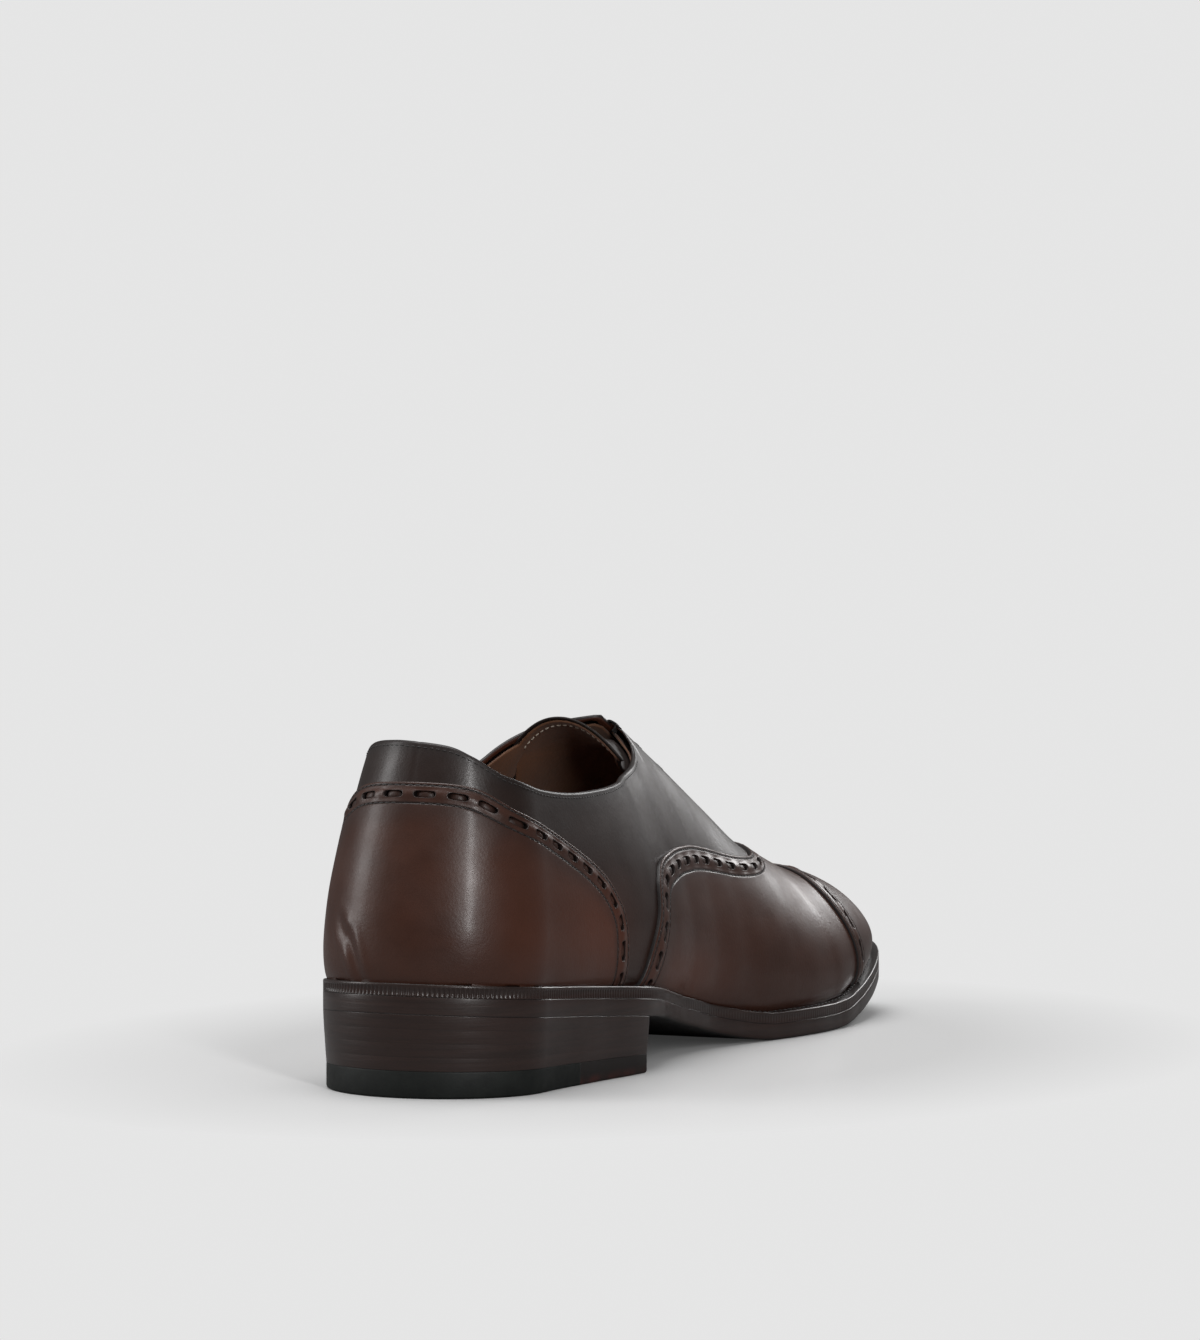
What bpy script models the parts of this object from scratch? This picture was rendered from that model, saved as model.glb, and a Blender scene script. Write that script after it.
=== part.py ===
"""A cap-toe Oxford brogue, the left shoe, standing empty on its leather sole.

X points to the inner side, Y to the toe and Z up. The origin is at the centre of the heel's
underside. Sizes are in millimetres and become metres where a mesh is made.
Places along the shoe are shares of SOLE_LENGTH, counted from the back of the heel.
"""

import math

import bpy
import numpy as np

MM = 0.001

# Whole shoe
SOLE_LENGTH = 305.0
BALL_WIDTH = 100.0
HEEL_HEIGHT = 23.3
CONE_HEIGHT = 120.0
HEEL_LENGTH = 87.0
HEEL_CENTRE = 43.0
COLLAR_BACK = 97.0

# Thicknesses
WALL = 2.0
OVERLAY = 1.0
OUTSOLE = 5.0
WELT = 3.2
INSOLE = 2.2
TONGUE = 1.6
LACE = 1.1
TOP_PIECE_BACK = 7.6
TOP_PIECE_FRONT = 5.5

# Clearances
GAP = 0.3
SLIT = 0.8

# Plan
HEEL_ARC = 30.0
HEEL_TAPER = 0.9
TOE_FROM = 0.738
TOE_POWER = 2.4
TOE_SHIFT = 4.0
WELT_UNDER_UPPER = 7.0
TOP_PIECE_JOINT = 50.5

# Throat and laces
FACING_TOP = 0.436
THROAT = 0.708
LACE_BARS = 6
LACE_WIDTH = 3.2
LACE_REACH = 8.5
TONGUE_TOP = 0.358
TONGUE_END = 0.69

# Mesh: columns from heel to toe on each side, and rows from sole to ridge
COLUMNS = 42
ROWS = 12

# Sole's edge: share of length, inner and outer half width as shares of BALL_WIDTH
OUTLINE = (
    (0.000, 0.333, 0.333),
    (0.100, 0.335, 0.333),
    (0.200, 0.362, 0.338),
    (0.285, 0.392, 0.342),
    (0.330, 0.375, 0.348),
    (0.390, 0.330, 0.360),
    (0.445, 0.303, 0.378),
    (0.495, 0.303, 0.405),
    (0.550, 0.338, 0.442),
    (0.600, 0.383, 0.482),
    (0.650, 0.420, 0.518),
    (0.700, 0.440, 0.545),
    (0.750, 0.444, 0.555),
    (0.800, 0.428, 0.535),
    (0.850, 0.415, 0.505),
    (0.900, 0.408, 0.480),
    (1.000, 0.410, 0.450),
)

# Step from the sole's edge in to the upper: share of length, inner and outer, as shares of BALL_WIDTH
STEP_IN = (
    (0.000, 0.026, 0.026),
    (0.120, 0.032, 0.026),
    (0.200, 0.048, 0.026),
    (0.285, 0.068, 0.026),
    (0.350, 0.048, 0.024),
    (0.420, 0.026, 0.024),
    (0.500, 0.026, 0.032),
    (0.580, 0.046, 0.050),
    (0.660, 0.058, 0.058),
    (1.000, 0.062, 0.062),
)

# Sole's underside: share of length, height as a share of HEEL_HEIGHT
UNDERSIDE = (
    (0.00, 1.000),
    (0.10, 0.899),
    (0.20, 0.798),
    (0.30, 0.682),
    (0.36, 0.571),
    (0.45, 0.365),
    (0.53, 0.150),
    (0.58, 0.036),
    (0.61, 0.000),
    (0.72, 0.000),
    (0.75, 0.022),
    (0.80, 0.110),
    (0.85, 0.240),
    (0.90, 0.390),
    (0.95, 0.535),
    (1.00, 0.655),
)

# Top of the last: share of length, height as a share of CONE_HEIGHT, sideways shift as a share of BALL_WIDTH
RIDGE = (
    (0.000, 1.000, 0.000),
    (0.150, 1.000, 0.000),
    (0.250, 0.987, 0.000),
    (0.320, 0.950, 0.010),
    (0.380, 0.904, 0.015),
    (0.436, 0.850, 0.025),
    (0.520, 0.738, 0.050),
    (0.600, 0.617, 0.080),
    (0.660, 0.525, 0.100),
    (0.720, 0.454, 0.120),
    (0.790, 0.398, 0.130),
    (0.850, 0.373, 0.125),
    (0.900, 0.348, 0.105),
    (0.950, 0.318, 0.080),
    (1.000, 0.290, 0.060),
)

# Where each column ends: share of its foot, share of its top, half width of the cone there over BALL_WIDTH
COLUMN_TOPS = (
    (0.00, 0.085, 0.175),
    (0.06, 0.120, 0.180),
    (0.12, 0.160, 0.175),
    (0.20, 0.215, 0.155),
    (0.27, 0.272, 0.105),
    (0.33, 0.330, 0.045),
    (0.37, 0.370, 0.000),
    (0.50, 0.490, 0.000),
    (0.60, 0.580, 0.000),
    (0.70, 0.672, 0.000),
    (0.80, 0.760, 0.000),
    (0.90, 0.835, 0.000),
    (0.96, 0.868, 0.000),
    (1.00, 0.880, 0.000),
)

# Cross section: share of length, bulge as a share of BALL_WIDTH, roundness, power of the round part
SECTION = (
    (0.00, 0.025, 0.00, 2.00),
    (0.12, 0.030, 0.03, 2.00),
    (0.24, 0.040, 0.22, 1.85),
    (0.35, 0.054, 0.62, 1.78),
    (0.45, 0.060, 0.93, 1.72),
    (0.55, 0.054, 1.00, 1.68),
    (0.65, 0.046, 1.00, 1.70),
    (0.75, 0.040, 1.00, 1.85),
    (0.85, 0.034, 1.00, 2.25),
    (1.00, 0.028, 1.00, 2.45),
)

# Edges seen from the side: share of length, height as a share of COLLAR_BACK
COLLAR_EDGE = (
    (-0.030, 1.010),
    (0.030, 1.004),
    (0.056, 0.992),
    (0.072, 0.934),
    (0.092, 0.893),
    (0.134, 0.856),
    (0.195, 0.836),
    (0.265, 0.840),
    (0.330, 0.860),
    (0.385, 0.893),
    (0.425, 0.950),
    (0.440, 1.010),
    (0.450, 1.090),
)
COUNTER_EDGE = (
    (-0.030, 0.893),
    (0.048, 0.886),
    (0.085, 0.806),
    (0.150, 0.722),
    (0.216, 0.624),
    (0.250, 0.530),
    (0.264, 0.410),
    (0.265, 0.200),
)
VAMP_EDGE = (
    (0.278, 0.100),
    (0.311, 0.325),
    (0.338, 0.454),
    (0.356, 0.562),
    (0.393, 0.622),
    (0.485, 0.633),
    (0.600, 0.577),
    (0.672, 0.572),
    (0.715, 0.630),
)

# Toe cap's seam seen from above, at the ridge, and how far its ends run forward
CAP_SEAM = 0.787
CAP_SWEEP = 0.043
CAP_REACH = 0.36
# How much higher the collar stands on the outer side, as a slope
COLLAR_TILT = 0.08

LEATHER_BROWN = (0.045, 0.018, 0.011, 1.0)
LEATHER_DARK = (0.022, 0.012, 0.009, 1.0)
LEATHER_TAN = (0.23, 0.10, 0.045, 1.0)
SOLE_BROWN = (0.030, 0.014, 0.010, 1.0)
HEEL_RED = (0.060, 0.020, 0.014, 1.0)
RUBBER_BLACK = (0.012, 0.014, 0.012, 1.0)
LACE_BLACK = (0.010, 0.008, 0.007, 1.0)


def clear_scene():
    for obj in list(bpy.data.objects):
        bpy.data.objects.remove(obj)


def material(name, colour, roughness):
    found = bpy.data.materials.new(name)
    found.use_nodes = True
    shader = found.node_tree.nodes["Principled BSDF"]
    shader.inputs["Base Color"].default_value = colour
    shader.inputs["Roughness"].default_value = roughness
    shader.inputs["Metallic"].default_value = 0.0
    return found


def curve(table, column, share):
    """A monotone cubic through one column of a table, which never overshoots its rows."""
    rows = np.asarray(table, float)
    x = rows[:, 0]
    y = rows[:, column]
    step = np.diff(x)
    rise = np.diff(y) / step
    slope = np.zeros(len(x))
    slope[0] = rise[0]
    slope[-1] = rise[-1]
    for k in range(1, len(x) - 1):
        if rise[k - 1] * rise[k] > 0:
            before = 2 * step[k] + step[k - 1]
            after = step[k] + 2 * step[k - 1]
            slope[k] = (before + after) / (before / rise[k - 1] + after / rise[k])
    share = np.clip(np.asarray(share, float), x[0], x[-1])
    k = np.clip(np.searchsorted(x, share, side="right") - 1, 0, len(x) - 2)
    s = (share - x[k]) / step[k]
    return (
        (1 + 2 * s) * (1 - s) ** 2 * y[k]
        + s * (1 - s) ** 2 * step[k] * slope[k]
        + s * s * (3 - 2 * s) * y[k + 1]
        + s * s * (s - 1) * step[k] * slope[k + 1]
    )


def place(share):
    """Y of a share of the length."""
    return np.asarray(share) * SOLE_LENGTH - HEEL_CENTRE


def share_of(y):
    return (np.asarray(y) + HEEL_CENTRE) / SOLE_LENGTH


def underside(y):
    return HEEL_HEIGHT * curve(UNDERSIDE, 1, share_of(y))


def feather(y):
    """Height at which the upper meets the welt."""
    return underside(y) + OUTSOLE + WELT + 2 * GAP


def toe_turn(share):
    return np.clip((share - TOE_FROM) / (1 - TOE_FROM), 0, 1)


def heel_round(share):
    behind = np.clip(1 - share * SOLE_LENGTH / HEEL_ARC, 0, 1)
    return np.sqrt(1 - behind**2)


def around(count, end=1.0):
    """Shares and sides of the columns: up the inner side, then back down the outer side."""
    k = np.arange(count + 1)
    up = end * (1 - np.cos(math.pi * k / count)) / 2
    share = np.concatenate([up, up[-2:0:-1]])
    side = np.concatenate([np.ones(count + 1), -np.ones(count - 1)])
    return share, side


def by_side(table, share, side):
    return BALL_WIDTH * np.where(side > 0, curve(table, 1, share), curve(table, 2, share))


def outline(share, side, inset=0.0):
    """Plan points of the sole's edge moved in by inset, and the outward directions there."""
    toe = toe_turn(share)
    width = by_side(OUTLINE, share, side) * heel_round(share) * (1 - toe**TOE_POWER) ** (1 / TOE_POWER)
    points = np.stack([TOE_SHIFT * toe + side * width, place(share)], 1)
    along = np.roll(points, -1, 0) - np.roll(points, 1, 0)
    along /= np.linalg.norm(along, axis=1)[:, None]
    out = np.stack([along[:, 1], -along[:, 0]], 1)
    return points - out * (np.asarray(inset) * np.ones(len(points)))[:, None], out


def column(share, side, foot, out, rows):
    """Points of the last's columns from the feather line to the ridge."""
    top = curve(COLUMN_TOPS, 1, share)
    cone = BALL_WIDTH * curve(COLUMN_TOPS, 2, share) * heel_round(share)
    top_x = BALL_WIDTH * curve(RIDGE, 2, top) + side * cone
    top_y = place(top)
    bulge = BALL_WIDTH * curve(SECTION, 1, share)
    round_part = curve(SECTION, 2, share)
    power = 2 / curve(SECTION, 3, share)
    low = feather(foot[:, 1])
    points = np.zeros((len(share), len(rows), 3))
    for j, v in enumerate(rows):
        turn = math.pi / 2 * v
        inward = (1 - round_part) * v**1.45 + round_part * (1 - max(math.cos(turn), 0) ** power)
        height = (1 - round_part) * v + round_part * math.sin(turn) ** power
        swell = bulge * np.sin(math.pi * height**0.62) * np.clip(1 - height, 0, 1) ** 0.35
        x = foot[:, 0] + (top_x - foot[:, 0]) * inward + out[:, 0] * swell
        y = foot[:, 1] + (top_y - foot[:, 1]) * inward + out[:, 1] * swell
        ridge = CONE_HEIGHT * curve(RIDGE, 1, share_of(y))
        points[:, j] = np.stack([x, y, low * (1 - height) + ridge * height], 1)
    return points


def last_grid():
    """The whole last as an open grid: points and faces, with the two sides joined on the ridge."""
    share, side = around(COLUMNS)
    foot, out = outline(share, side, by_side(STEP_IN, share, side))
    rows = np.linspace(0, 1, ROWS + 1)
    points = column(share, side, foot, out, rows)
    count = len(share)
    index = np.arange(count * len(rows)).reshape(count, len(rows))
    closed = curve(COLUMN_TOPS, 2, share) < 1e-6
    for i in range(count):
        if closed[i] or i in (0, COLUMNS):
            index[i, -1] = index[min(i, (count - i) % count), -1]
    points = points.reshape(-1, 3)
    faces = []
    for i in range(count):
        ahead = (i + 1) % count
        for j in range(len(rows) - 1):
            corners = (index[i, j], index[ahead, j], index[ahead, j + 1], index[i, j + 1])
            kept = [c for k, c in enumerate(corners) if c != corners[k - 1]]
            faces.append(kept)
    ring = [index[i, -1] for i in range(count) if not closed[i]]
    centre = len(points)
    points = np.vstack([points, points[ring].mean(0)])
    inner = [i for i in range(count) if not closed[i]]
    for a, b in zip(inner, inner[1:] + inner[:1]):
        if abs(a - b) == 1 or {a, b} == {0, count - 1}:
            faces.append([index[a, -1], index[b, -1], centre])
        else:
            tip = index[a + 1, -1]
            faces.append([index[a, -1], tip, centre])
            faces.append([tip, index[b, -1], centre])
    return points, faces


def normals_of(points, faces):
    found = np.zeros_like(points)
    for face in faces:
        for k in range(1, len(face) - 1):
            tri = [face[0], face[k], face[k + 1]]
            a, b, c = points[tri]
            found[tri] += np.cross(b - a, c - a)
    length = np.linalg.norm(found, axis=1)
    return found / np.where(length > 0, length, 1)[:, None]


def thick(points, faces, outside, inside, seat=None):
    """A closed sheet between two offsets of a grid. With seat, its rim on the welt keeps that height."""
    points, faces = compact(points, triangles(faces))
    normals = normals_of(points, faces)
    outer = points + outside * normals
    inner = points + inside * normals
    count = len(points)
    uses = {}
    for face in faces:
        for a, b in zip(face, face[1:] + face[:1]):
            uses[(a, b)] = uses.get((a, b), 0) + 1
    rim = [(a, b) for a, b in uses if (b, a) not in uses]
    if seat is not None:
        for a, _ in rim:
            outer[a, 2] = seat(outer[a, 1])
            inner[a, 2] = seat(inner[a, 1])
    solid = [list(face) for face in faces]
    solid += [[v + count for v in reversed(face)] for face in faces]
    solid += [[b, a, a + count, b + count] for a, b in rim]
    return np.vstack([outer, inner]), solid


def triangles(faces):
    """Every sheet splits its faces the same way, so that offset sheets stay parallel."""
    return [[face[0], face[k], face[k + 1]] for face in faces for k in range(1, len(face) - 1)]


def compact(points, faces):
    used = sorted({v for face in faces for v in face})
    new = {v: k for k, v in enumerate(used)}
    return points[used], [[new[v] for v in face] for face in faces]


def add_mesh(name, points, faces, look=None, smooth=True):
    mesh = bpy.data.meshes.new(name)
    mesh.from_pydata((np.asarray(points) * MM).tolist(), [], [list(map(int, f)) for f in faces])
    mesh.validate()
    mesh.update()
    if smooth:
        mesh.shade_smooth()
    obj = bpy.data.objects.new(name, mesh)
    bpy.context.scene.collection.objects.link(obj)
    if look is not None:
        mesh.materials.append(look)
    return obj


def boolean(obj, cutter, operation):
    cutter.hide_render = True
    cutter.display_type = "WIRE"
    cut = obj.modifiers.new(cutter.name, "BOOLEAN")
    cut.operation = operation
    cut.solver = "EXACT"
    cut.object = cutter


def stacked(name, rings, look, hollow=False):
    """A solid through closed rings of equal count. Caps run across from side to side, so they follow the sole."""
    count = len(rings[0])
    faces = []
    levels = len(rings)
    for k in range(levels if hollow else levels - 1):
        low, high = k * count, ((k + 1) % levels) * count
        for i in range(count):
            j = (i + 1) % count
            faces.append([low + i, low + j, high + j, high + i])
    if not hollow:
        top = (levels - 1) * count
        half = count // 2
        for i in range(half):
            a, b = i, i + 1
            c, d = (count - b) % count, (count - a) % count
            for base, turned in ((0, True), (top, False)):
                loop = [base + v for v in (a, b, c, d)]
                kept = [v for k, v in enumerate(loop) if v != loop[k - 1]]
                faces.append(kept[::-1] if turned else kept)
    return add_mesh(name, np.vstack(rings), faces, look)


def lifted(plan, height):
    """Plan points at a height that is a number or a function of Y."""
    z = height(plan[:, 1]) if callable(height) else np.full(len(plan), float(height))
    return np.column_stack([plan, z])


def path(table, steps=5):
    """Points of a smooth line through an edge's table, in millimetres."""
    rows = np.array([(place(s), h * COLLAR_BACK) for s, h in table])
    ends = np.vstack([2 * rows[0] - rows[1], rows, 2 * rows[-1] - rows[-2]])
    found = []
    for k in range(1, len(ends) - 2):
        a, b, c, d = ends[k - 1 : k + 3]
        for s in np.arange(steps) / steps:
            found.append(
                0.5 * (2 * b + (c - a) * s + (2 * a - 5 * b + 4 * c - d) * s**2 + (3 * b - a - 3 * c + d) * s**3)
            )
    found.append(rows[-1])
    return np.array(found)


def side_prism(name, edge, corners, tilt=0.0):
    """A cutter that runs right through the shoe sideways: an edge closed by corners, given as (Y, Z)."""
    loop = np.vstack([edge, corners])
    area = np.sum(loop[:, 0] * np.roll(loop[:, 1], -1) - np.roll(loop[:, 0], -1) * loop[:, 1])
    if area < 0:
        loop = loop[::-1]
    count = len(loop)
    reach = BALL_WIDTH
    points = []
    for x in (-reach, reach):
        points += [(x, y, z - tilt * x) for y, z in loop]
    faces = [list(range(count))[::-1], list(range(count, 2 * count))]
    faces += [[k, (k + 1) % count, (k + 1) % count + count, k + count] for k in range(count)]
    return add_mesh(name, points, faces, smooth=False)


def cap_prism(name, back):
    """A cutter in front of the toe cap's seam, moved back by a clearance."""
    middle = BALL_WIDTH * float(curve(RIDGE, 2, CAP_SEAM))
    reach = CAP_REACH * BALL_WIDTH * 2
    loop = []
    for k in range(17):
        s = -1 + k / 8
        y = place(CAP_SEAM) + CAP_SWEEP * SOLE_LENGTH * min((2 * s) ** 2, abs(2.6 * s)) - back
        loop.append((middle + s * reach, float(y)))
    front = float(place(1.2))
    loop += [(middle + reach, front), (middle - reach, front)]
    count = len(loop)
    points = [(x, y, z) for z in (-10.0, CONE_HEIGHT) for x, y in loop]
    faces = [list(range(count))[::-1], list(range(count, 2 * count))]
    faces += [[k, (k + 1) % count, (k + 1) % count + count, k + count] for k in range(count)]
    return add_mesh(name, points, faces, smooth=False)


def box_cutter(name, low, high):
    corners = [(x, y, z) for x in (low[0], high[0]) for y in (low[1], high[1]) for z in (low[2], high[2])]
    faces = [(0, 1, 3, 2), (4, 6, 7, 5), (0, 4, 5, 1), (2, 3, 7, 6), (0, 2, 6, 4), (1, 5, 7, 3)]
    return add_mesh(name, corners, faces, smooth=False)


def slit_cutter():
    """The closed facings' slit, along the ridge from the collar to the throat."""
    stations = np.linspace(FACING_TOP - 0.03, THROAT, 7)
    points = []
    for s in stations:
        x = BALL_WIDTH * float(curve(RIDGE, 2, s))
        for z in (5.0, CONE_HEIGHT):
            for side in (-1, 1):
                points.append((x + side * SLIT / 2, float(place(s)), z))
    faces = [[0, 1, 3, 2]]
    for k in range(len(stations) - 1):
        a, b = 4 * k, 4 * k + 4
        faces += [[a + 1, a, b, b + 1], [a, a + 2, b + 2, b], [a + 3, a + 1, b + 1, b + 3], [a + 2, a + 3, b + 3, b + 2]]
    end = 4 * (len(stations) - 1)
    faces.append([end + 1, end, end + 2, end + 3])
    return add_mesh("slit_cutter", points, faces, smooth=False)


def build_upper(grid, look):
    obj = add_mesh("upper", *thick(*grid, 0.0, -WALL, feather), look)
    high = CONE_HEIGHT + 20
    ends = [(float(place(0.45)), high), (float(place(-0.1)), high), (float(place(-0.1)), COLLAR_BACK)]
    boolean(obj, side_prism("collar_cutter", path(COLLAR_EDGE), ends, COLLAR_TILT), "DIFFERENCE")
    boolean(obj, slit_cutter(), "DIFFERENCE")
    return obj


def build_counter(grid, look):
    obj = add_mesh("heel_counter", *thick(*grid, GAP + OVERLAY, GAP, feather), look)
    ends = [(float(place(0.265)), -10.0), (float(place(-0.1)), -10.0), (float(place(-0.1)), COLLAR_BACK * 0.9)]
    boolean(obj, side_prism("counter_form", path(COUNTER_EDGE), ends), "INTERSECT")
    return obj


def build_vamp(grid, look):
    obj = add_mesh("vamp", *thick(*grid, GAP + OVERLAY, GAP, feather), look)
    front = float(place(1.1))
    ends = [(float(place(0.74)), COLLAR_BACK), (front, COLLAR_BACK), (front, -10.0), (float(place(0.27)), -10.0)]
    boolean(obj, side_prism("vamp_form", path(VAMP_EDGE), ends), "INTERSECT")
    boolean(obj, cap_prism("vamp_end_cutter", GAP), "DIFFERENCE")
    return obj


def build_toe_cap(grid, look):
    obj = add_mesh("toe_cap", *thick(*grid, GAP + OVERLAY, GAP, feather), look)
    boolean(obj, cap_prism("toe_cap_form", 0.0), "INTERSECT")
    return obj


def ridge_patch(tops, reach, across):
    """A grid over the ridge. tops are shares at the ridge and reach the row at which each line starts."""
    foot_share = np.interp(tops, [r[1] for r in COLUMN_TOPS], [r[0] for r in COLUMN_TOPS])
    patch = []
    for side in (1.0, -1.0):
        sides = np.full(len(tops), side)
        fine, way = around(4 * COLUMNS)
        feet, outs = outline(fine, way, by_side(STEP_IN, fine, way))
        here = way == side
        order = np.argsort(fine[here])
        foot = np.column_stack([np.interp(foot_share, fine[here][order], feet[here][order][:, c]) for c in (0, 1)])
        out = np.column_stack([np.interp(foot_share, fine[here][order], outs[here][order][:, c]) for c in (0, 1)])
        lines = []
        for k in range(len(tops)):
            rows = np.linspace(reach[k], 1, across + 1)
            lines.append(column(foot_share[k : k + 1], sides[k : k + 1], foot[k : k + 1], out[k : k + 1], rows)[0])
        patch.append(np.array(lines))
    inner, outer = patch
    whole = np.concatenate([inner, outer[:, -2::-1]], 1)
    count = whole.shape[1]
    faces = []
    for k in range(len(tops) - 1):
        for i in range(count - 1):
            a, b = k * count + i, (k + 1) * count + i
            faces.append([a, b, b + 1, a + 1])
    return whole.reshape(-1, 3), faces


def relaxed(lines, times):
    """Softens the fold along the middle of each line, with both ends of the line kept."""
    lines = lines.copy()
    for _ in range(times):
        lines[:, 1:-1] = 0.5 * lines[:, 1:-1] + 0.25 * (lines[:, :-2] + lines[:, 2:])
    return lines


def build_tongue(look):
    tops = np.concatenate([TONGUE_TOP + np.array([0, 0.006, 0.016]), np.linspace(0.395, TONGUE_END, 9)])
    width = np.interp(tops, [TONGUE_TOP, TONGUE_TOP + 0.016, 0.43, TONGUE_END], [0.62, 0.57, 0.55, 0.70])
    under = -(WALL + 0.6)
    points, faces = ridge_patch(tops, width, 6)
    points = relaxed(points.reshape(len(tops), -1, 3), 6).reshape(-1, 3)
    points, faces = thick(points, faces, under, under - TONGUE)
    return add_mesh("tongue", points, faces, look)


def build_laces(look):
    """Straight bars across the closed facings, one solid for each pair of eyelets."""
    first, final = FACING_TOP + 0.022, THROAT - 0.048
    half = LACE_WIDTH / SOLE_LENGTH / 2
    for k in range(LACE_BARS):
        middle = first + (final - first) * k / (LACE_BARS - 1)
        tops = np.array([middle - half, middle + half])
        side = BALL_WIDTH * 0.30 + 0.35 * BALL_WIDTH * max(middle - 0.5, 0)
        start = 1 - 2 / math.pi * math.asin(min((LACE_REACH / side) ** 0.86, 0.9))
        points, faces = thick(*ridge_patch(tops, [start, start], 4), GAP + LACE, GAP)
        add_mesh(f"lace_bar_{k + 1}", points, faces, look)


def build_outsole(look):
    share, side = around(COLUMNS)
    edge, _ = outline(share, side)
    inside, _ = outline(share, side, 0.8)
    rings = [
        lifted(inside, underside),
        lifted(edge, lambda y: underside(y) + 0.8),
        lifted(edge, lambda y: underside(y) + OUTSOLE),
    ]
    return stacked("outsole", rings, look)


def build_welt(look):
    share, side = around(COLUMNS)
    step = by_side(STEP_IN, share, side)
    edge, _ = outline(share, side)
    inside, _ = outline(share, side, step + WELT_UNDER_UPPER)
    low = lambda y: underside(y) + OUTSOLE + GAP
    high = lambda y: low(y) + WELT
    rings = [lifted(inside, low), lifted(edge, low), lifted(edge, high), lifted(inside, high)]
    return stacked("welt", rings, look, hollow=True)


def build_insole(look):
    share, side = around(COLUMNS)
    step = by_side(STEP_IN, share, side)
    core, _ = outline(share, side, step + WELT_UNDER_UPPER + GAP)
    plate, _ = outline(share, side, step + WALL + 2 * GAP)
    rings = [
        lifted(core, lambda y: underside(y) + OUTSOLE + GAP),
        lifted(core, feather),
        lifted(plate, feather),
        lifted(plate, lambda y: feather(y) + INSOLE),
    ]
    return stacked("insole", rings, look)


def heel_ring(first, final, inset):
    """Plan of the heel between two places along it, closed straight across at each end."""
    share, side = around(COLUMNS)
    edge, _ = outline(share, side, inset)
    rows = 12
    if first <= 0:
        k = np.arange(rows + 1) / rows
        y = (1 - np.cos(math.pi / 2 * k)) * (final - edge[0, 1]) + edge[0, 1]
        y = np.where(k == 1, final, y)
    else:
        y = np.linspace(first, final, 5)
    inner = np.column_stack([np.interp(y, edge[: COLUMNS // 2, 1], edge[: COLUMNS // 2, 0]), y])
    back = np.vstack([edge[0], edge[: COLUMNS + COLUMNS // 2 : -1]])
    outer = np.column_stack([np.interp(y, back[:, 1], back[:, 0]), y])
    return inner, outer


def heel_solid(name, first, final, levels, look):
    """A part of the heel: levels are (inset, height) from the floor up, and a height may be a function of Y."""
    rings = []
    for inset, height in levels:
        inner, outer = heel_ring(first, final, inset)
        tail = outer[:0:-1] if first <= 0 else outer[::-1]
        rings.append(lifted(np.vstack([inner, tail]), height))
    count = len(rings[0])
    faces = []
    for k in range(len(rings) - 1):
        low, high = k * count, (k + 1) * count
        faces += [[low + i, low + (i + 1) % count, high + (i + 1) % count, high + i] for i in range(count)]
    rows = len(inner)
    top = (len(rings) - 1) * count
    for i in range(rows - 1):
        c, d = (count - i - 1, (count - i) % count) if first <= 0 else (count - i - 2, count - i - 1)
        for base, turned in ((0, True), (top, False)):
            loop = [base + v for v in (i, i + 1, c, d)]
            kept = [v for k, v in enumerate(loop) if v != loop[k - 1]]
            faces.append(kept[::-1] if turned else kept)
    return add_mesh(name, np.vstack(rings), faces, look)


def top_piece_height(y):
    return TOP_PIECE_BACK + (TOP_PIECE_FRONT - TOP_PIECE_BACK) * share_of(y) * SOLE_LENGTH / HEEL_LENGTH


def build_heel(stack_look, front_look, rubber_look):
    breast = float(place(HEEL_LENGTH / SOLE_LENGTH))
    joint = TOP_PIECE_JOINT - HEEL_CENTRE
    ground = [(HEEL_TAPER + 0.5, 0.0), (HEEL_TAPER, 0.5), (HEEL_TAPER, top_piece_height)]
    heel_solid("top_piece", 0, joint - GAP / 2, ground, rubber_look)
    heel_solid("top_piece_front", joint + GAP / 2, breast, ground, front_look)
    stack = [
        (HEEL_TAPER, lambda y: top_piece_height(y) + GAP),
        (0.0, lambda y: underside(y) - GAP),
    ]
    heel_solid("heel_stack", 0, breast, stack, stack_look)


def main():
    clear_scene()
    brown = material("upper_leather", LEATHER_BROWN, 0.35)
    dark = material("quarter_leather", LEATHER_DARK, 0.38)
    tan = material("lining_leather", LEATHER_TAN, 0.6)
    sole = material("sole_leather", SOLE_BROWN, 0.4)
    red = material("heel_leather", HEEL_RED, 0.45)
    rubber = material("heel_rubber", RUBBER_BLACK, 0.6)
    cotton = material("lace_cotton", LACE_BLACK, 0.7)
    grid = last_grid()
    build_upper(grid, dark)
    build_vamp(grid, brown)
    build_toe_cap(grid, brown)
    build_counter(grid, brown)
    build_tongue(dark)
    build_insole(tan)
    build_welt(sole)
    build_outsole(sole)
    build_heel(sole, red, rubber)
    build_laces(cotton)


main()
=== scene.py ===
"""Dresses the cap-toe Oxford brogue for its studio picture.

The leather panels are laid over the last that the solids follow. Each panel has its brogue band with
open windows, a strip woven through them, stitches, rolled edges and the creases of a worn-in shape.
Sizes are millimetres in the frame of the solids, and become metres where a mesh is made.
"""

import math

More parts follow.
